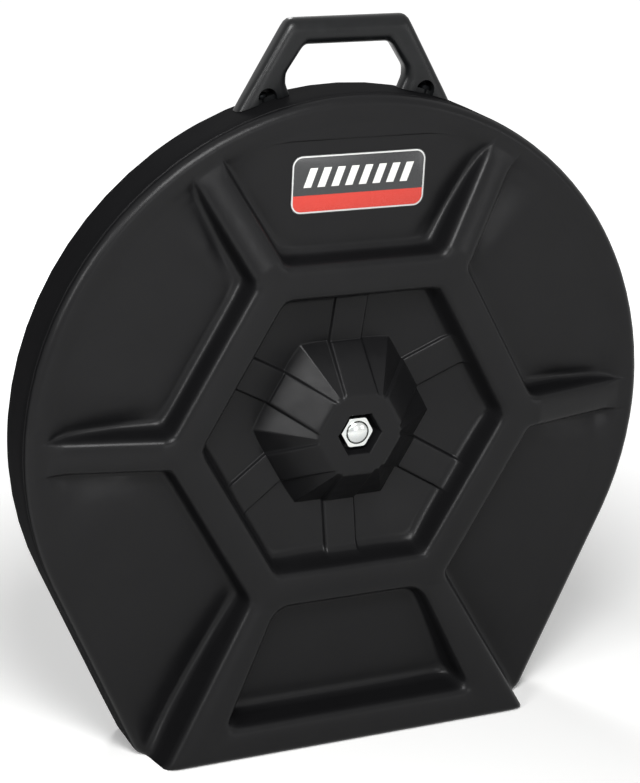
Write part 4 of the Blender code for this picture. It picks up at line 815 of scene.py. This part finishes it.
def rear_rows():
    """All rows of the closed rear shell: the back from bore to rim, the side, the seam and the inside."""
    hexagons = [full_row(back_row, apothem) for apothem in BACK_ROWS]
    start, sectors = hexagons[-1]
    ends = far_ends(start, sectors, BACK_FAN_START, lambda sector, side: BACK_COLUMNS[0], BACK_LAST_STRAIGHT)
    heading = (ends - start) / np.linalg.norm(ends - start, axis=1)[:, None]
    plans = [bore_row(radius, hexagons[0][0]) for radius in KNOB_POCKET_ROWS]
    plans += [row for row, _ in hexagons]
    plans += [mix(start, ends, share) for share in BACK_PANEL_ROWS]
    plans += [reach_inset(ends, heading, inset) for inset in BACK_RIM_ROWS]

    def rim_row(inset, depth):
        return lay(reach_inset(ends, heading, inset), depth)

    pocket_floor = BACK_PLANE - KNOB_POCKET_DEPTH
    bore = bore_row(REAR_BORE, plans[0])
    made = [lay(bore, pocket_floor - 0.4)]
    made += [lay(p, BACK_PLANE - back_recess(p, sectors, 0.0)) for p in plans]
    turns = [math.pi / 2 * index / EDGE_ROWS for index in range(1, EDGE_ROWS + 1)]
    made += [rim_row(RIM_EDGE * (1 - math.sin(t)), BACK_PLANE - RIM_EDGE * (1 - math.cos(t)))
             for t in turns]
    made += [rim_row(0.0, depth) for depth in (68, 55, 42, SEAM_SLOT + SLOT_EDGE)]
    made += [rim_row(SLOT_EDGE * 0.3, SEAM_SLOT + SLOT_EDGE * 0.3), rim_row(SLOT_EDGE, SEAM_SLOT),
             rim_row(SEAM_SLOT_FLOOR, SEAM_SLOT), rim_row(SEAM_SLOT_FLOOR + 0.1, REAR_SEAM),
             rim_row(WALL - 0.4, REAR_SEAM), rim_row(WALL, REAR_SEAM + 0.4)]
    made += [rim_row(WALL, depth) for depth in (45, 60, BACK_PLANE - RIM_EDGE)]
    inner = RIM_EDGE - WALL
    made += [rim_row(RIM_EDGE - inner * math.cos(t), BACK_PLANE - RIM_EDGE + inner * math.sin(t))
             for t in turns[1:-1:2]]
    made += [lay(p, BACK_PLANE - back_recess(p, sectors, WALL)) for p in reversed(plans)]
    return made + [lay(bore, pocket_floor - WALL)]


rear_shell = ring_mesh("rear_shell_moulding", rear_rows())
rear_shell.data.materials.append(shell_plastic)
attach(rear_shell, "rear_cover")
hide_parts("rear_shell")


# Handle
# The carrying handle is one injection moulding in black polypropylene, glossier than the shells: a round
# grip between two flat legs. An arched pocket in each foot takes the screw that holds it to the rim.

HANDLE_MIDDLE = 65.0
HANDLE_THICKNESS = 20.0
HANDLE_TOP = 360.0
GRIP_THICKNESS = 23.5
GRIP_HALF_LENGTH = 41.0
SHOULDER_HALF_WIDTH = 55.5
SHOULDER_RADIUS = 9.0
WAIST = [(56.5, 313.5), (56.5, 304.5)]
WAIST_RADIUS = 9.0
FOOT_INNER = 52.3
FOOT_OUTER = 101.3
SEAT = RIM + 0.35
SCREW_OFFSET = math.asin((FOOT_INNER + FOOT_OUTER) / 2 / SEAT)
POCKET_RADIUS = 8.6
POCKET_FLOOR = 3.5
POCKET_BACK = 70.0
POCKET_SHIFT = 3.0
LIP_CUT = 60.2
CUT_START = HANDLE_MIDDLE - 12.0
GRIP_INNER_SHARE = 0.447
GRIP_OUTER_SHARE = 0.378
GRIP_POWER = 2.1
LEG_POWER = 3.2
SECTION_POINTS = 64


def rounded_chain(points, radius):
    """Dense chain of plan points with its inner corners rounded."""
    made = [np.array(points[0], float)]
    for before, corner, after in zip(points, points[1:], points[2:]):
        before, corner, after = np.array(before), np.array(corner), np.array(after)
        back_way = (before - corner) / np.linalg.norm(before - corner)
        on_way = (after - corner) / np.linalg.norm(after - corner)
        half = math.acos(np.clip(back_way @ on_way, -1, 1)) / 2
        reach = min(radius / math.tan(half), np.linalg.norm(before - corner) * 0.48,
                    np.linalg.norm(after - corner) * 0.48)
        for share in np.linspace(0, 1, 9):
            made.append(mix(mix(corner + back_way * reach, corner, share),
                            mix(corner, corner + on_way * reach, share), share))
    made.append(np.array(points[-1], float))
    return np.array(made)


def walk(chain, shares):
    """Points at given shares of a chain's length."""
    steps = np.concatenate([[0], np.cumsum(np.linalg.norm(np.diff(chain, axis=0), axis=1))])
    wanted = np.array(shares) * steps[-1]
    return np.stack([np.interp(wanted, steps, chain[:, axis]) for axis in (0, 1)], axis=-1)


def full_turn(steps):
    """Even angles round a full turn."""
    return math.tau * np.arange(steps) / steps


def superellipse(steps, power):
    """Unit section between a circle, at a power of 2, and a rounded square."""
    turns = full_turn(steps)
    waves = np.stack([np.cos(turns), np.sin(turns)], -1)
    return np.sign(waves) * np.abs(waves) ** (2 / power)


def handle_stations():
    """Rings of points round the handle, from the left foot over the grip to the right foot."""
    on_rim = [(x, math.sqrt(SEAT ** 2 - x ** 2)) for x in (FOOT_INNER, FOOT_OUTER)]
    inner = rounded_chain([(0, HANDLE_TOP - GRIP_THICKNESS), (GRIP_HALF_LENGTH, HANDLE_TOP - GRIP_THICKNESS)]
                          + WAIST + [on_rim[0]], WAIST_RADIUS)
    outer = rounded_chain([(0, HANDLE_TOP), (SHOULDER_HALF_WIDTH, HANDLE_TOP), on_rim[1]], SHOULDER_RADIUS)
    grip_shares = np.concatenate([np.linspace(0, 0.8, 6)[:-1], np.linspace(0.8, 1.0, 6)[:-1]])
    leg_shares = np.concatenate([np.linspace(0, 0.2, 6)[:-1], np.linspace(0.2, 1.0, 15)])
    inner, outer = (walk(chain, np.concatenate([grip_shares * corner, mix(corner, 1.0, leg_shares)]))
                    for chain, corner in ((inner, GRIP_INNER_SHARE), (outer, GRIP_OUTER_SHARE)))
    along = np.concatenate([grip_shares - 1, leg_shares])
    rings = []
    for (x0, z0), (x1, z1), share in zip(inner, outer, along):
        flat = ease(ramp(share, -0.10, 0.12))
        section = superellipse(SECTION_POINTS, mix(GRIP_POWER, LEG_POWER, flat))
        x = (x0 + x1) / 2 + section[:, 0] * (x1 - x0) / 2
        z = (z0 + z1) / 2 + section[:, 0] * (z1 - z0) / 2
        arc = np.sqrt(SEAT ** 2 - x ** 2)
        chord = mix(on_rim[0][1], on_rim[1][1], (x - FOOT_INNER) / (FOOT_OUTER - FOOT_INNER))
        z = z + (arc - chord) * ease(ramp(share, 0.7, 1.0))
        rings.append(np.stack([x, HANDLE_MIDDLE + section[:, 1] * HANDLE_THICKNESS / 2, z], -1))
    left = [ring * np.array([-1, 1, 1]) for ring in rings[:0:-1]]
    return left + rings


def lofted(name, rings):
    """Closed mesh through rings of (x, depth, height) points, capped at both ends."""
    bm = bmesh.new()
    made = [[bm.verts.new(place(*point)) for point in ring] for ring in rings]
    for ring, following in zip(made, made[1:]):
        for index in range(len(ring)):
            after = (index + 1) % len(ring)
            bm.faces.new([ring[index], ring[after], following[after], following[index]])
    for cap in (made[0], made[-1]):
        bm.faces.new(cap)
    bmesh.ops.recalc_face_normals(bm, faces=bm.faces)
    mesh = bpy.data.meshes.new(name)
    bm.to_mesh(mesh)
    bm.free()
    return put(name, mesh)


def crease(made, degrees):
    """Smooth shading that keeps the edges past an angle crisp."""
    made.data.shade_smooth()
    made.data.set_sharp_from_angle(angle=math.radians(degrees))
    return made


def cut(target, tools):
    """Takes the tools out of the target's mesh and removes them."""
    for tool in tools:
        target.modifiers.new(tool.name, "BOOLEAN").object = tool
    bpy.context.view_layer.update()
    mesh = bpy.data.meshes.new_from_object(target.evaluated_get(bpy.context.evaluated_depsgraph_get()))
    target.modifiers.clear()
    target.data = mesh
    for tool in tools:
        bpy.data.objects.remove(tool)


def arch(name, side, radius, floor, start, end):
    """Arched cutter that stands on the rim at a foot's screw."""
    tilt = side * SCREW_OFFSET
    out, over = np.array([math.sin(tilt), math.cos(tilt)]), np.array([math.cos(tilt), -math.sin(tilt)])
    turns = np.linspace(0, math.pi, 25)
    centre = -over * side * POCKET_SHIFT
    middle = centre + out * (SEAT + POCKET_FLOOR)
    plan = [middle + (out * math.sin(t) + over * math.cos(t)) * radius for t in turns]
    plan = [centre + out * floor + over * radius] + plan + [centre + out * floor - over * radius]
    return lofted(name, [[(x, depth, z) for x, z in plan] for depth in (start, end)])


def moulded_polypropylene(name, colour):
    """Semi-gloss polypropylene: a fine grain from the steel mould, rubbed smoother where hands hold it.

    The grain, about 0.2 mm, is drawn at 0.9 mm so that it shows."""
    material, tree, spot = start_material(name)
    grain = node(tree, "TexNoise", Vector=spot, Scale=1 / (0.9 * MM), Detail=2.0)
    flow = node(tree, "TexNoise", Vector=spot, Scale=1 / (18 * MM), Detail=2.0)
    soft = node(tree, "Bump", Strength=0.4, Distance=0.3 * MM, Height=flow)
    bump = node(tree, "Bump", Strength=0.35, Distance=0.06 * MM, Height=grain, Normal=soft)
    rubs = node(tree, "TexNoise", Vector=spot, Scale=1 / (15 * MM), Detail=5.0, Roughness=0.65)
    rough = node(tree, "MapRange", _0=rubs, _1=0.3, _2=0.7, _3=0.27, _4=0.36)
    shade = node(tree, "MapRange", _0=rubs, _1=0.3, _2=0.7, _3=0.85, _4=1.15)
    colour = node(tree, "Mix", {"data_type": "RGBA", "blend_type": "MULTIPLY"}, _0=1.0, _6=linear(colour),
                  _7=shade)
    shader = node(tree, "BsdfPrincipled", Base_Color=colour.outputs[2], Roughness=rough, IOR=1.49,
                  Specular_IOR_Level=0.24, Normal=bump)
    node(tree, "OutputMaterial", Surface=shader)
    return material


handle_plastic = moulded_polypropylene("moulded_black_polypropylene", "#0e0f10")
handle = lofted("carrying_handle", handle_stations())
cut(handle, [arch(f"pocket_{side}", side, POCKET_RADIUS, SEAT + POCKET_FLOOR, CUT_START, POCKET_BACK)
             for side in (-1, 1)]
    + [arch(f"lip_{side}", side, POCKET_RADIUS - 0.02, SEAT - 6, CUT_START, LIP_CUT) for side in (-1, 1)])
crease(handle, 40)
handle.data.materials.clear()
handle.data.materials.append(handle_plastic)
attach(handle, "rear_cover")
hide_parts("handle")


# Label
# A thin polycarbonate plate, printed on its face and glued to the pad. It carries no words: a pale line
# runs round a black field with slanted bars over a red strip.

LABEL_HALF = (63.5, 26.0)
LABEL_CORNER = 10.0
LABEL_RISE = 223.5
LABEL_THICKNESS = 0.8
INK_EDGE = 0.12
BORDER_INSET = 1.4
BORDER_HALF = 0.65
STRIP_TOP = -9.5
BARS_MIDDLE = 6.0
BARS_HALF = (50.0, 8.5)
BAR_SLANT = 0.35
BAR_PITCH = 13.0
BAR_GAP = 3.0


def label_plate():
    """Rounded plate that lies along the pad's sloping plane."""
    plan = []
    for quarter in range(4):
        for step in range(9):
            angle = math.pi / 2 * (quarter + step / 8)
            side_x, side_z = (1, -1, -1, 1)[quarter], (1, 1, -1, -1)[quarter]
            plan.append((side_x * (LABEL_HALF[0] - LABEL_CORNER) + LABEL_CORNER * math.cos(angle),
                         side_z * (LABEL_HALF[1] - LABEL_CORNER) + LABEL_CORNER * math.sin(angle)))
    tilt = (PAD_TOP_DEPTH - PAD_BOTTOM_DEPTH) / (PAD_TOP - PAD_BOTTOM)
    rings = []
    for shrink, lift in ((0.0, 0.05), (0.0, LABEL_THICKNESS - 0.2), (0.06, LABEL_THICKNESS - 0.06),
                         (0.2, LABEL_THICKNESS)):
        part_x, part_z = 1 - shrink / LABEL_HALF[0], 1 - shrink / LABEL_HALF[1]
        ring = [(x * part_x, z * part_z + LABEL_RISE) for x, z in plan]
        rings.append([(x, PAD_BOTTOM_DEPTH + tilt * (z - PAD_BOTTOM) - lift, z) for x, z in ring])
    return crease(lofted("label_plate", rings), 30)


def printed_polycarbonate(name):
    """Glossy polycarbonate, printed in pale, black and red inks, with a face that has fine scratches.

    The wear comes in patches of about 3 mm. The scratches, about 0.1 mm, are drawn at 0.7 mm so that they
    show."""
    material, tree, spot = start_material(name)
    middle = (0.0, 0.0, (POST_HEIGHT + LABEL_RISE) * MM)
    in_mm = node(tree, "Mapping", Vector=spot, Location=tuple(-value / MM for value in middle),
                 Scale=(1 / MM, 1 / MM, 1 / MM))

    def ink(value, limit, side):
        """1 where a value in mm is past a limit on one side, with an edge a quarter of a millimetre soft."""
        soft = side * INK_EDGE
        return node(tree, "MapRange", _0=value, _1=limit - soft, _2=limit + soft)

    def overlap(first, second):
        """1 where both are 1."""
        return node(tree, "Math", {"operation": "MINIMUM"}, _0=first, _1=second)

    # Distance in from the border's middle line, a rounded box.
    corner = LABEL_CORNER - BORDER_INSET
    straight = (LABEL_HALF[0] - LABEL_CORNER, 1 / MM, LABEL_HALF[1] - LABEL_CORNER)
    outer = node(tree, "VectorMath", {"operation": "ABSOLUTE"}, _0=in_mm)
    outer = node(tree, "VectorMath", {"operation": "SUBTRACT"}, _0=outer, _1=straight)
    outer = node(tree, "VectorMath", {"operation": "MAXIMUM"}, _0=outer, _1=(0.0, 0.0, 0.0))
    outer = node(tree, "VectorMath", {"operation": "LENGTH"}, _0=outer).outputs["Value"]
    border = node(tree, "Math", {"operation": "SUBTRACT"}, _0=corner, _1=outer)
    line = ink(node(tree, "Math", {"operation": "ABSOLUTE"}, _0=border), BORDER_HALF, -1)
    height = node(tree, "SeparateXYZ", Vector=in_mm).outputs["Z"]
    strip = overlap(ink(border, BORDER_HALF, 1), ink(height, STRIP_TOP, -1))

    # Slanted bars: whole ones, because their ends are cut along the slant.
    rise = node(tree, "Math", {"operation": "SUBTRACT"}, _0=height, _1=BARS_MIDDLE)
    slant = node(tree, "VectorMath", {"operation": "DOT_PRODUCT"}, _0=in_mm, _1=(1.0, 0.0, -BAR_SLANT))
    slant = node(tree, "Math", {"operation": "ADD"}, _0=slant.outputs["Value"], _1=BARS_MIDDLE * BAR_SLANT)
    wave = node(tree, "Math", {"operation": "PINGPONG"}, _0=slant, _1=BAR_PITCH / 2)
    bars = ink(wave, BAR_GAP, 1)
    for value, limit in ((slant, BARS_HALF[0]), (rise, BARS_HALF[1])):
        off = node(tree, "Math", {"operation": "ABSOLUTE"}, _0=value)
        bars = overlap(bars, ink(off, limit, -1))

    wear = node(tree, "TexNoise", Vector=in_mm, Scale=0.35, Detail=5.0, Roughness=0.6)
    field = node(tree, "Mix", {"data_type": "RGBA"}, _0=wear, _6=linear("#141516"), _7=linear("#1c1d1f"))
    red = node(tree, "Mix", {"data_type": "RGBA"}, _0=strip, _6=field.outputs[2], _7=linear("#bf2a18"))
    white = node(tree, "Mix", {"data_type": "RGBA"}, _0=bars, _6=red.outputs[2], _7=linear("#dfdfdb"))
    pale = node(tree, "Mix", {"data_type": "RGBA"}, _0=line, _6=white.outputs[2], _7=linear("#c4c5c3"))
    scratches = node(tree, "TexNoise", Vector=in_mm, Scale=1.4, Detail=6.0, Roughness=0.75)
    rough = node(tree, "MapRange", _0=scratches, _1=0.35, _2=0.7, _3=0.22, _4=0.38)
    dimples = node(tree, "Bump", Strength=0.15, Distance=0.1 * MM, Height=wear)
    shader = node(tree, "BsdfPrincipled", Base_Color=pale.outputs[2], Roughness=rough, IOR=1.58,
                  Normal=dimples)
    node(tree, "OutputMaterial", Surface=shader)
    return material


label = label_plate()
label.data.materials.append(printed_polycarbonate("printed_polycarbonate_plate"))
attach(label, "front_body")
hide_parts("label")


# Acorn nut and steel fasteners
# The domed nut, the washers, the wing nut, the post and the handle's nuts are zinc-plated steel: bright and
# slightly uneven. The washer under the domed nut and the handle's screws are passivated black, so that they
# don't catch the light in their pockets.

NUT_FLATS = 26.5
NUT_FACE = 4.2
NUT_SEAT = 9.5
NUT_DOME_RADIUS = 10.9
NUT_DOME_HEIGHT = 4.5
NUT_CHAMFER_START = 14.7
NUT_CHAMFER = math.tan(math.radians(30))
NUT_BORE = 8.3
NUT_COLUMNS = 144


def turned_ring(turns, radius, depth):
    """Ring of (x, depth, height) points round the post."""
    return np.stack([radius * np.cos(turns), np.broadcast_to(depth, len(turns)), radius * np.sin(turns)], -1)


def acorn_nut():
    """Hexagon nut whose top corners are turned off by a cone, with a low dome on its face."""
    turns = full_turn(NUT_COLUMNS)
    flats = NUT_FLATS / 2 / np.cos(turns % (math.pi / 3) - math.pi / 6)
    corner_drop = np.maximum(flats - NUT_CHAMFER_START, 0) * NUT_CHAMFER
    rows = [(NUT_BORE, NUT_SEAT), (NUT_CHAMFER_START, NUT_SEAT), (flats, NUT_SEAT - corner_drop),
            (flats, NUT_FACE + corner_drop)]
    rows += [(mix(flats, np.minimum(flats, NUT_CHAMFER_START), share), NUT_FACE + corner_drop * (1 - share))
             for share in (0.08, 0.5, 1.0)]
    rows += [(NUT_DOME_RADIUS + 0.5, NUT_FACE)]
    rows += [(NUT_DOME_RADIUS * math.cos(angle), NUT_FACE - NUT_DOME_HEIGHT * math.sin(angle))
             for angle in np.linspace(0.0, math.pi / 2 - 0.06, 14)]
    return crease(lofted("acorn_nut_turned", [turned_ring(turns, *row) for row in rows]), 25)


def plated_steel(name, colour, tint, rough_low, rough_high):
    """Zinc plate on steel: fine crystals in the plating, cloudy passivation and small rubbed spots.

    The crystals are too fine to show, and are drawn at 0.5 mm."""
    material, tree, spot = start_material(name)
    cloud = node(tree, "TexNoise", Vector=spot, Scale=1 / (4 * MM), Detail=4.0, Roughness=0.6)
    shade = node(tree, "Mix", {"data_type": "RGBA"}, _0=cloud, _6=linear(colour), _7=linear(tint))
    crystals = node(tree, "TexVoronoi", Vector=spot, Scale=1 / (0.5 * MM))
    bump = node(tree, "Bump", Strength=0.12, Distance=0.03 * MM, Height=crystals)
    rubs = node(tree, "TexNoise", Vector=spot, Scale=1 / (1.5 * MM), Detail=5.0, Roughness=0.7)
    rough = node(tree, "MapRange", _0=rubs, _1=0.3, _2=0.7, _3=rough_low, _4=rough_high)
    shader = node(tree, "BsdfPrincipled", Base_Color=shade.outputs[2], Metallic=1.0,
                  Roughness=rough, Normal=bump)
    node(tree, "OutputMaterial", Surface=shader)
    return material


def dress(material, *names):
    """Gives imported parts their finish."""
    for name in names:
        nodes[name].data.materials.clear()
        nodes[name].data.materials.append(material)


bright_zinc = plated_steel("bright_zinc_plate", "#c3c8cc", "#d2d2cb", 0.16, 0.28)
black_zinc = plated_steel("black_passivated_zinc", "#0d0e0f", "#141516", 0.5, 0.65)
nut = acorn_nut()
nut.data.materials.append(bright_zinc)
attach(nut, "front_body")
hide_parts("acorn_nut")
dress(bright_zinc, "centre_post", "clamp_washer", "wing_nut", "knob_clip", "handle_washer_left",
      "handle_washer_right", "handle_nut_left", "handle_nut_right")
dress(black_zinc, "acorn_nut_washer", "handle_screw_left", "handle_screw_right")


# Felts, sleeve and seal
# Two pressed wool felts hold the cymbals, a nylon sleeve lines their holes, and a rubber washer seals the
# post in the boss. The felts' edges are soft and their faces hairy.

FELT_RADIUS = 19.0
FELT_BORE = 5.8
FELT_ROUNDING = 1.2
FELT_COLUMNS = 96
FELT_LUMPS = 0.55
FELT_SINK = 0.12
FELT_UNEVEN = 0.16


def felt_disc(name, packed):
    """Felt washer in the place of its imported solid, with rounded edges and an uneven face."""
    low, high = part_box(packed)
    front, rear = low[1] / MM + DEPTH_CENTRE, high[1] / MM + DEPTH_CENTRE
    middle, half = (front + rear) / 2, (rear - front) / 2
    profile = [(FELT_BORE, middle - half + 0.5), (FELT_BORE, middle + half - 0.5)]
    for radius, sign in ((FELT_BORE + 0.7, 1), (9, 1), (12, 1), (15, 1), (FELT_RADIUS - 2.4, 1)):
        profile.append((radius, middle + sign * half))
    for angle in np.linspace(math.pi / 2, -math.pi / 2, 11):
        off, lift = FELT_ROUNDING * math.cos(angle), FELT_ROUNDING * math.sin(angle)
        flat = (half - FELT_ROUNDING) * np.clip(math.sin(angle) * 3, -1, 1)
        profile.append((FELT_RADIUS - FELT_ROUNDING + off, middle + flat + lift))
    for radius in (FELT_RADIUS - 2.4, 15, 12, 9, FELT_BORE + 0.7):
        profile.append((radius, middle - half))
    turns = full_turn(FELT_COLUMNS)
    rings = []
    for radius, depth in profile:
        points = turned_ring(turns, radius, depth)
        uneven = np.array([noise.noise(Vector(p) * FELT_LUMPS) for p in points])
        pull = turned_ring(turns, -1.0, np.sign(middle - depth)) * (radius > FELT_BORE + 1)
        rings.append(place(*(points + pull * (FELT_SINK + FELT_UNEVEN * uneven[:, None])).T))
    return ring_mesh(name, rings)


def pressed_felt(name):
    """Pressed wool felt: mottled grey with matted fibres that stand off the surface.

    The fibres are too fine to show, and are drawn at 0.4 mm."""
    material, tree, spot = start_material(name)
    matted = node(tree, "TexNoise", Vector=spot, Scale=1 / (2.5 * MM), Detail=6.0, Roughness=0.75)
    fibres = node(tree, "TexNoise", Vector=spot, Scale=1 / (0.4 * MM), Detail=4.0, Roughness=0.8,
                  Distortion=2.0)
    colour = node(tree, "Mix", {"data_type": "RGBA"}, _0=matted, _6=linear("#5e5f61"), _7=linear("#8d8e8f"))
    soft = node(tree, "Bump", Strength=0.7, Distance=0.5 * MM, Height=matted)
    bump = node(tree, "Bump", Strength=0.8, Distance=0.3 * MM, Height=fibres, Normal=soft)
    shader = node(tree, "BsdfPrincipled", Base_Color=colour.outputs[2], Roughness=1.0, Sheen_Weight=0.5,
                  Sheen_Roughness=0.6, Normal=bump)
    node(tree, "OutputMaterial", Surface=shader)
    return material


def plain_polymer(name, colour, rough_low, rough_high, grain_mm):
    """Moulded or turned polymer with a fine grain and dull spots.

    The grain, under 0.1 mm, is drawn at a few tenths of a millimetre so that it shows."""
    material, tree, spot = start_material(name)
    spots = node(tree, "TexNoise", Vector=spot, Scale=1 / (3 * MM), Detail=5.0, Roughness=0.65)
    grain = node(tree, "TexNoise", Vector=spot, Scale=1 / (grain_mm * MM), Detail=2.0)
    shade = node(tree, "MapRange", _0=spots, _1=0.3, _2=0.7, _3=0.8, _4=1.2)
    colour = node(tree, "Mix", {"data_type": "RGBA", "blend_type": "MULTIPLY"}, _0=1.0, _6=linear(colour),
                  _7=shade)
    rough = node(tree, "MapRange", _0=spots, _1=0.3, _2=0.7, _3=rough_low, _4=rough_high)
    bump = node(tree, "Bump", Strength=0.3, Distance=0.05 * MM, Height=grain)
    shader = node(tree, "BsdfPrincipled", Base_Color=colour.outputs[2], Roughness=rough, IOR=1.52,
                  Normal=bump)
    node(tree, "OutputMaterial", Surface=shader)
    return material


wool_felt = pressed_felt("pressed_wool_felt")
for packed, body in (("front_felt", "front_body"), ("rear_felt", "clamp")):
    disc = felt_disc(f"{packed}_disc", packed)
    disc.data.materials.append(wool_felt)
    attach(disc, body)
    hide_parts(packed)
dress(plain_polymer("turned_black_nylon", "#1c1c1d", 0.32, 0.45, 0.4), "cymbal_sleeve", "knob_washer")
dress(plain_polymer("moulded_black_rubber", "#131314", 0.6, 0.75, 0.25), "post_seal_washer")


# Closing knob
# The hand knob in the back is moulded in the handle's polypropylene round a turned brass insert, whose
# thread runs on the post's rod. Six shallow lobes give the fingers a hold.

KNOB_RADIUS = 25.0
KNOB_LOBE = 2.0
KNOB_LOBES = 6
KNOB_START = 67.1
KNOB_HEIGHT = 17.0
KNOB_EDGE = 3.5
KNOB_LOW_EDGE = 1.5
KNOB_LOW_RISE = 2.0
KNOB_HOLLOW = ((19.0, 0.0), (17.5, 0.1), (16.6, 0.6), (15.6, 0.9), (12.0, 1.0), (6.0, 1.0), (0.3, 1.0))
KNOB_HOLE = 6.3
KNOB_HOLE_DEPTH = 13.3
KNOB_COLUMNS = 180


def knob_mesh():
    """Lobed knob with rounded edges, a slightly hollow top and a blind hole for its insert."""
    turns = full_turn(KNOB_COLUMNS)
    lobe = KNOB_LOBE * np.cos(KNOB_LOBES * turns)
    end = KNOB_START + KNOB_HEIGHT
    profile = [(0.3, 0, KNOB_START + KNOB_HOLE_DEPTH), (KNOB_HOLE, 0, KNOB_START + KNOB_HOLE_DEPTH),
               (KNOB_HOLE, 0, KNOB_START), (14.0, 0, KNOB_START), (KNOB_RADIUS - 3, 0.8, KNOB_START + 0.3)]
    for angle in np.linspace(-math.pi / 2, 0, 6)[1:]:
        profile.append((KNOB_RADIUS - KNOB_LOW_EDGE * (1 - math.cos(angle)), 1,
                        KNOB_START + KNOB_LOW_RISE + KNOB_LOW_EDGE * math.sin(angle)))
    for angle in np.linspace(0, math.pi / 2, 10):
        profile.append((KNOB_RADIUS - KNOB_EDGE + KNOB_EDGE * math.cos(angle), 1,
                        end - KNOB_EDGE + KNOB_EDGE * math.sin(angle)))
    for radius, sink in KNOB_HOLLOW:
        profile.append((radius, 0.6 if radius > 15.5 else 0.0, end - sink))
    rings = [turned_ring(turns, radius + lobe * share, depth) for radius, share, depth in profile]
    return crease(lofted("closing_hand_knob", rings), 35)


def turned_brass(name):
    """Brass from the lathe: fine rings round its axis and a warm, slightly dull film.

    The cutter's rings, about 0.15 mm, are drawn at 0.38 mm so that they show close up. The wave texture
    makes 20 / tau rings in its unit."""
    material, tree, spot = start_material(name)
    rings = node(tree, "TexWave", {"bands_direction": "Y"}, Vector=spot,
                 Scale=math.tau / 20 / (0.377 * MM), Distortion=0.4)
    film = node(tree, "TexNoise", Vector=spot, Scale=1 / (3 * MM), Detail=5.0)
    colour = node(tree, "Mix", {"data_type": "RGBA"}, _0=film, _6=linear("#a8833f"), _7=linear("#c9a55c"))
    bump = node(tree, "Bump", Strength=0.25, Distance=0.04 * MM, Height=rings.outputs["Fac"])
    rough = node(tree, "MapRange", _0=film, _1=0.3, _2=0.7, _3=0.25, _4=0.42)
    shader = node(tree, "BsdfPrincipled", Base_Color=colour.outputs[2], Metallic=1.0,
                  Roughness=rough, Normal=bump)
    node(tree, "OutputMaterial", Surface=shader)
    return material


knob = knob_mesh()
knob.data.materials.append(handle_plastic)
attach(knob, "knob")
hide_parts("closing_knob")
dress(turned_brass("turned_brass_insert"), "knob_insert")
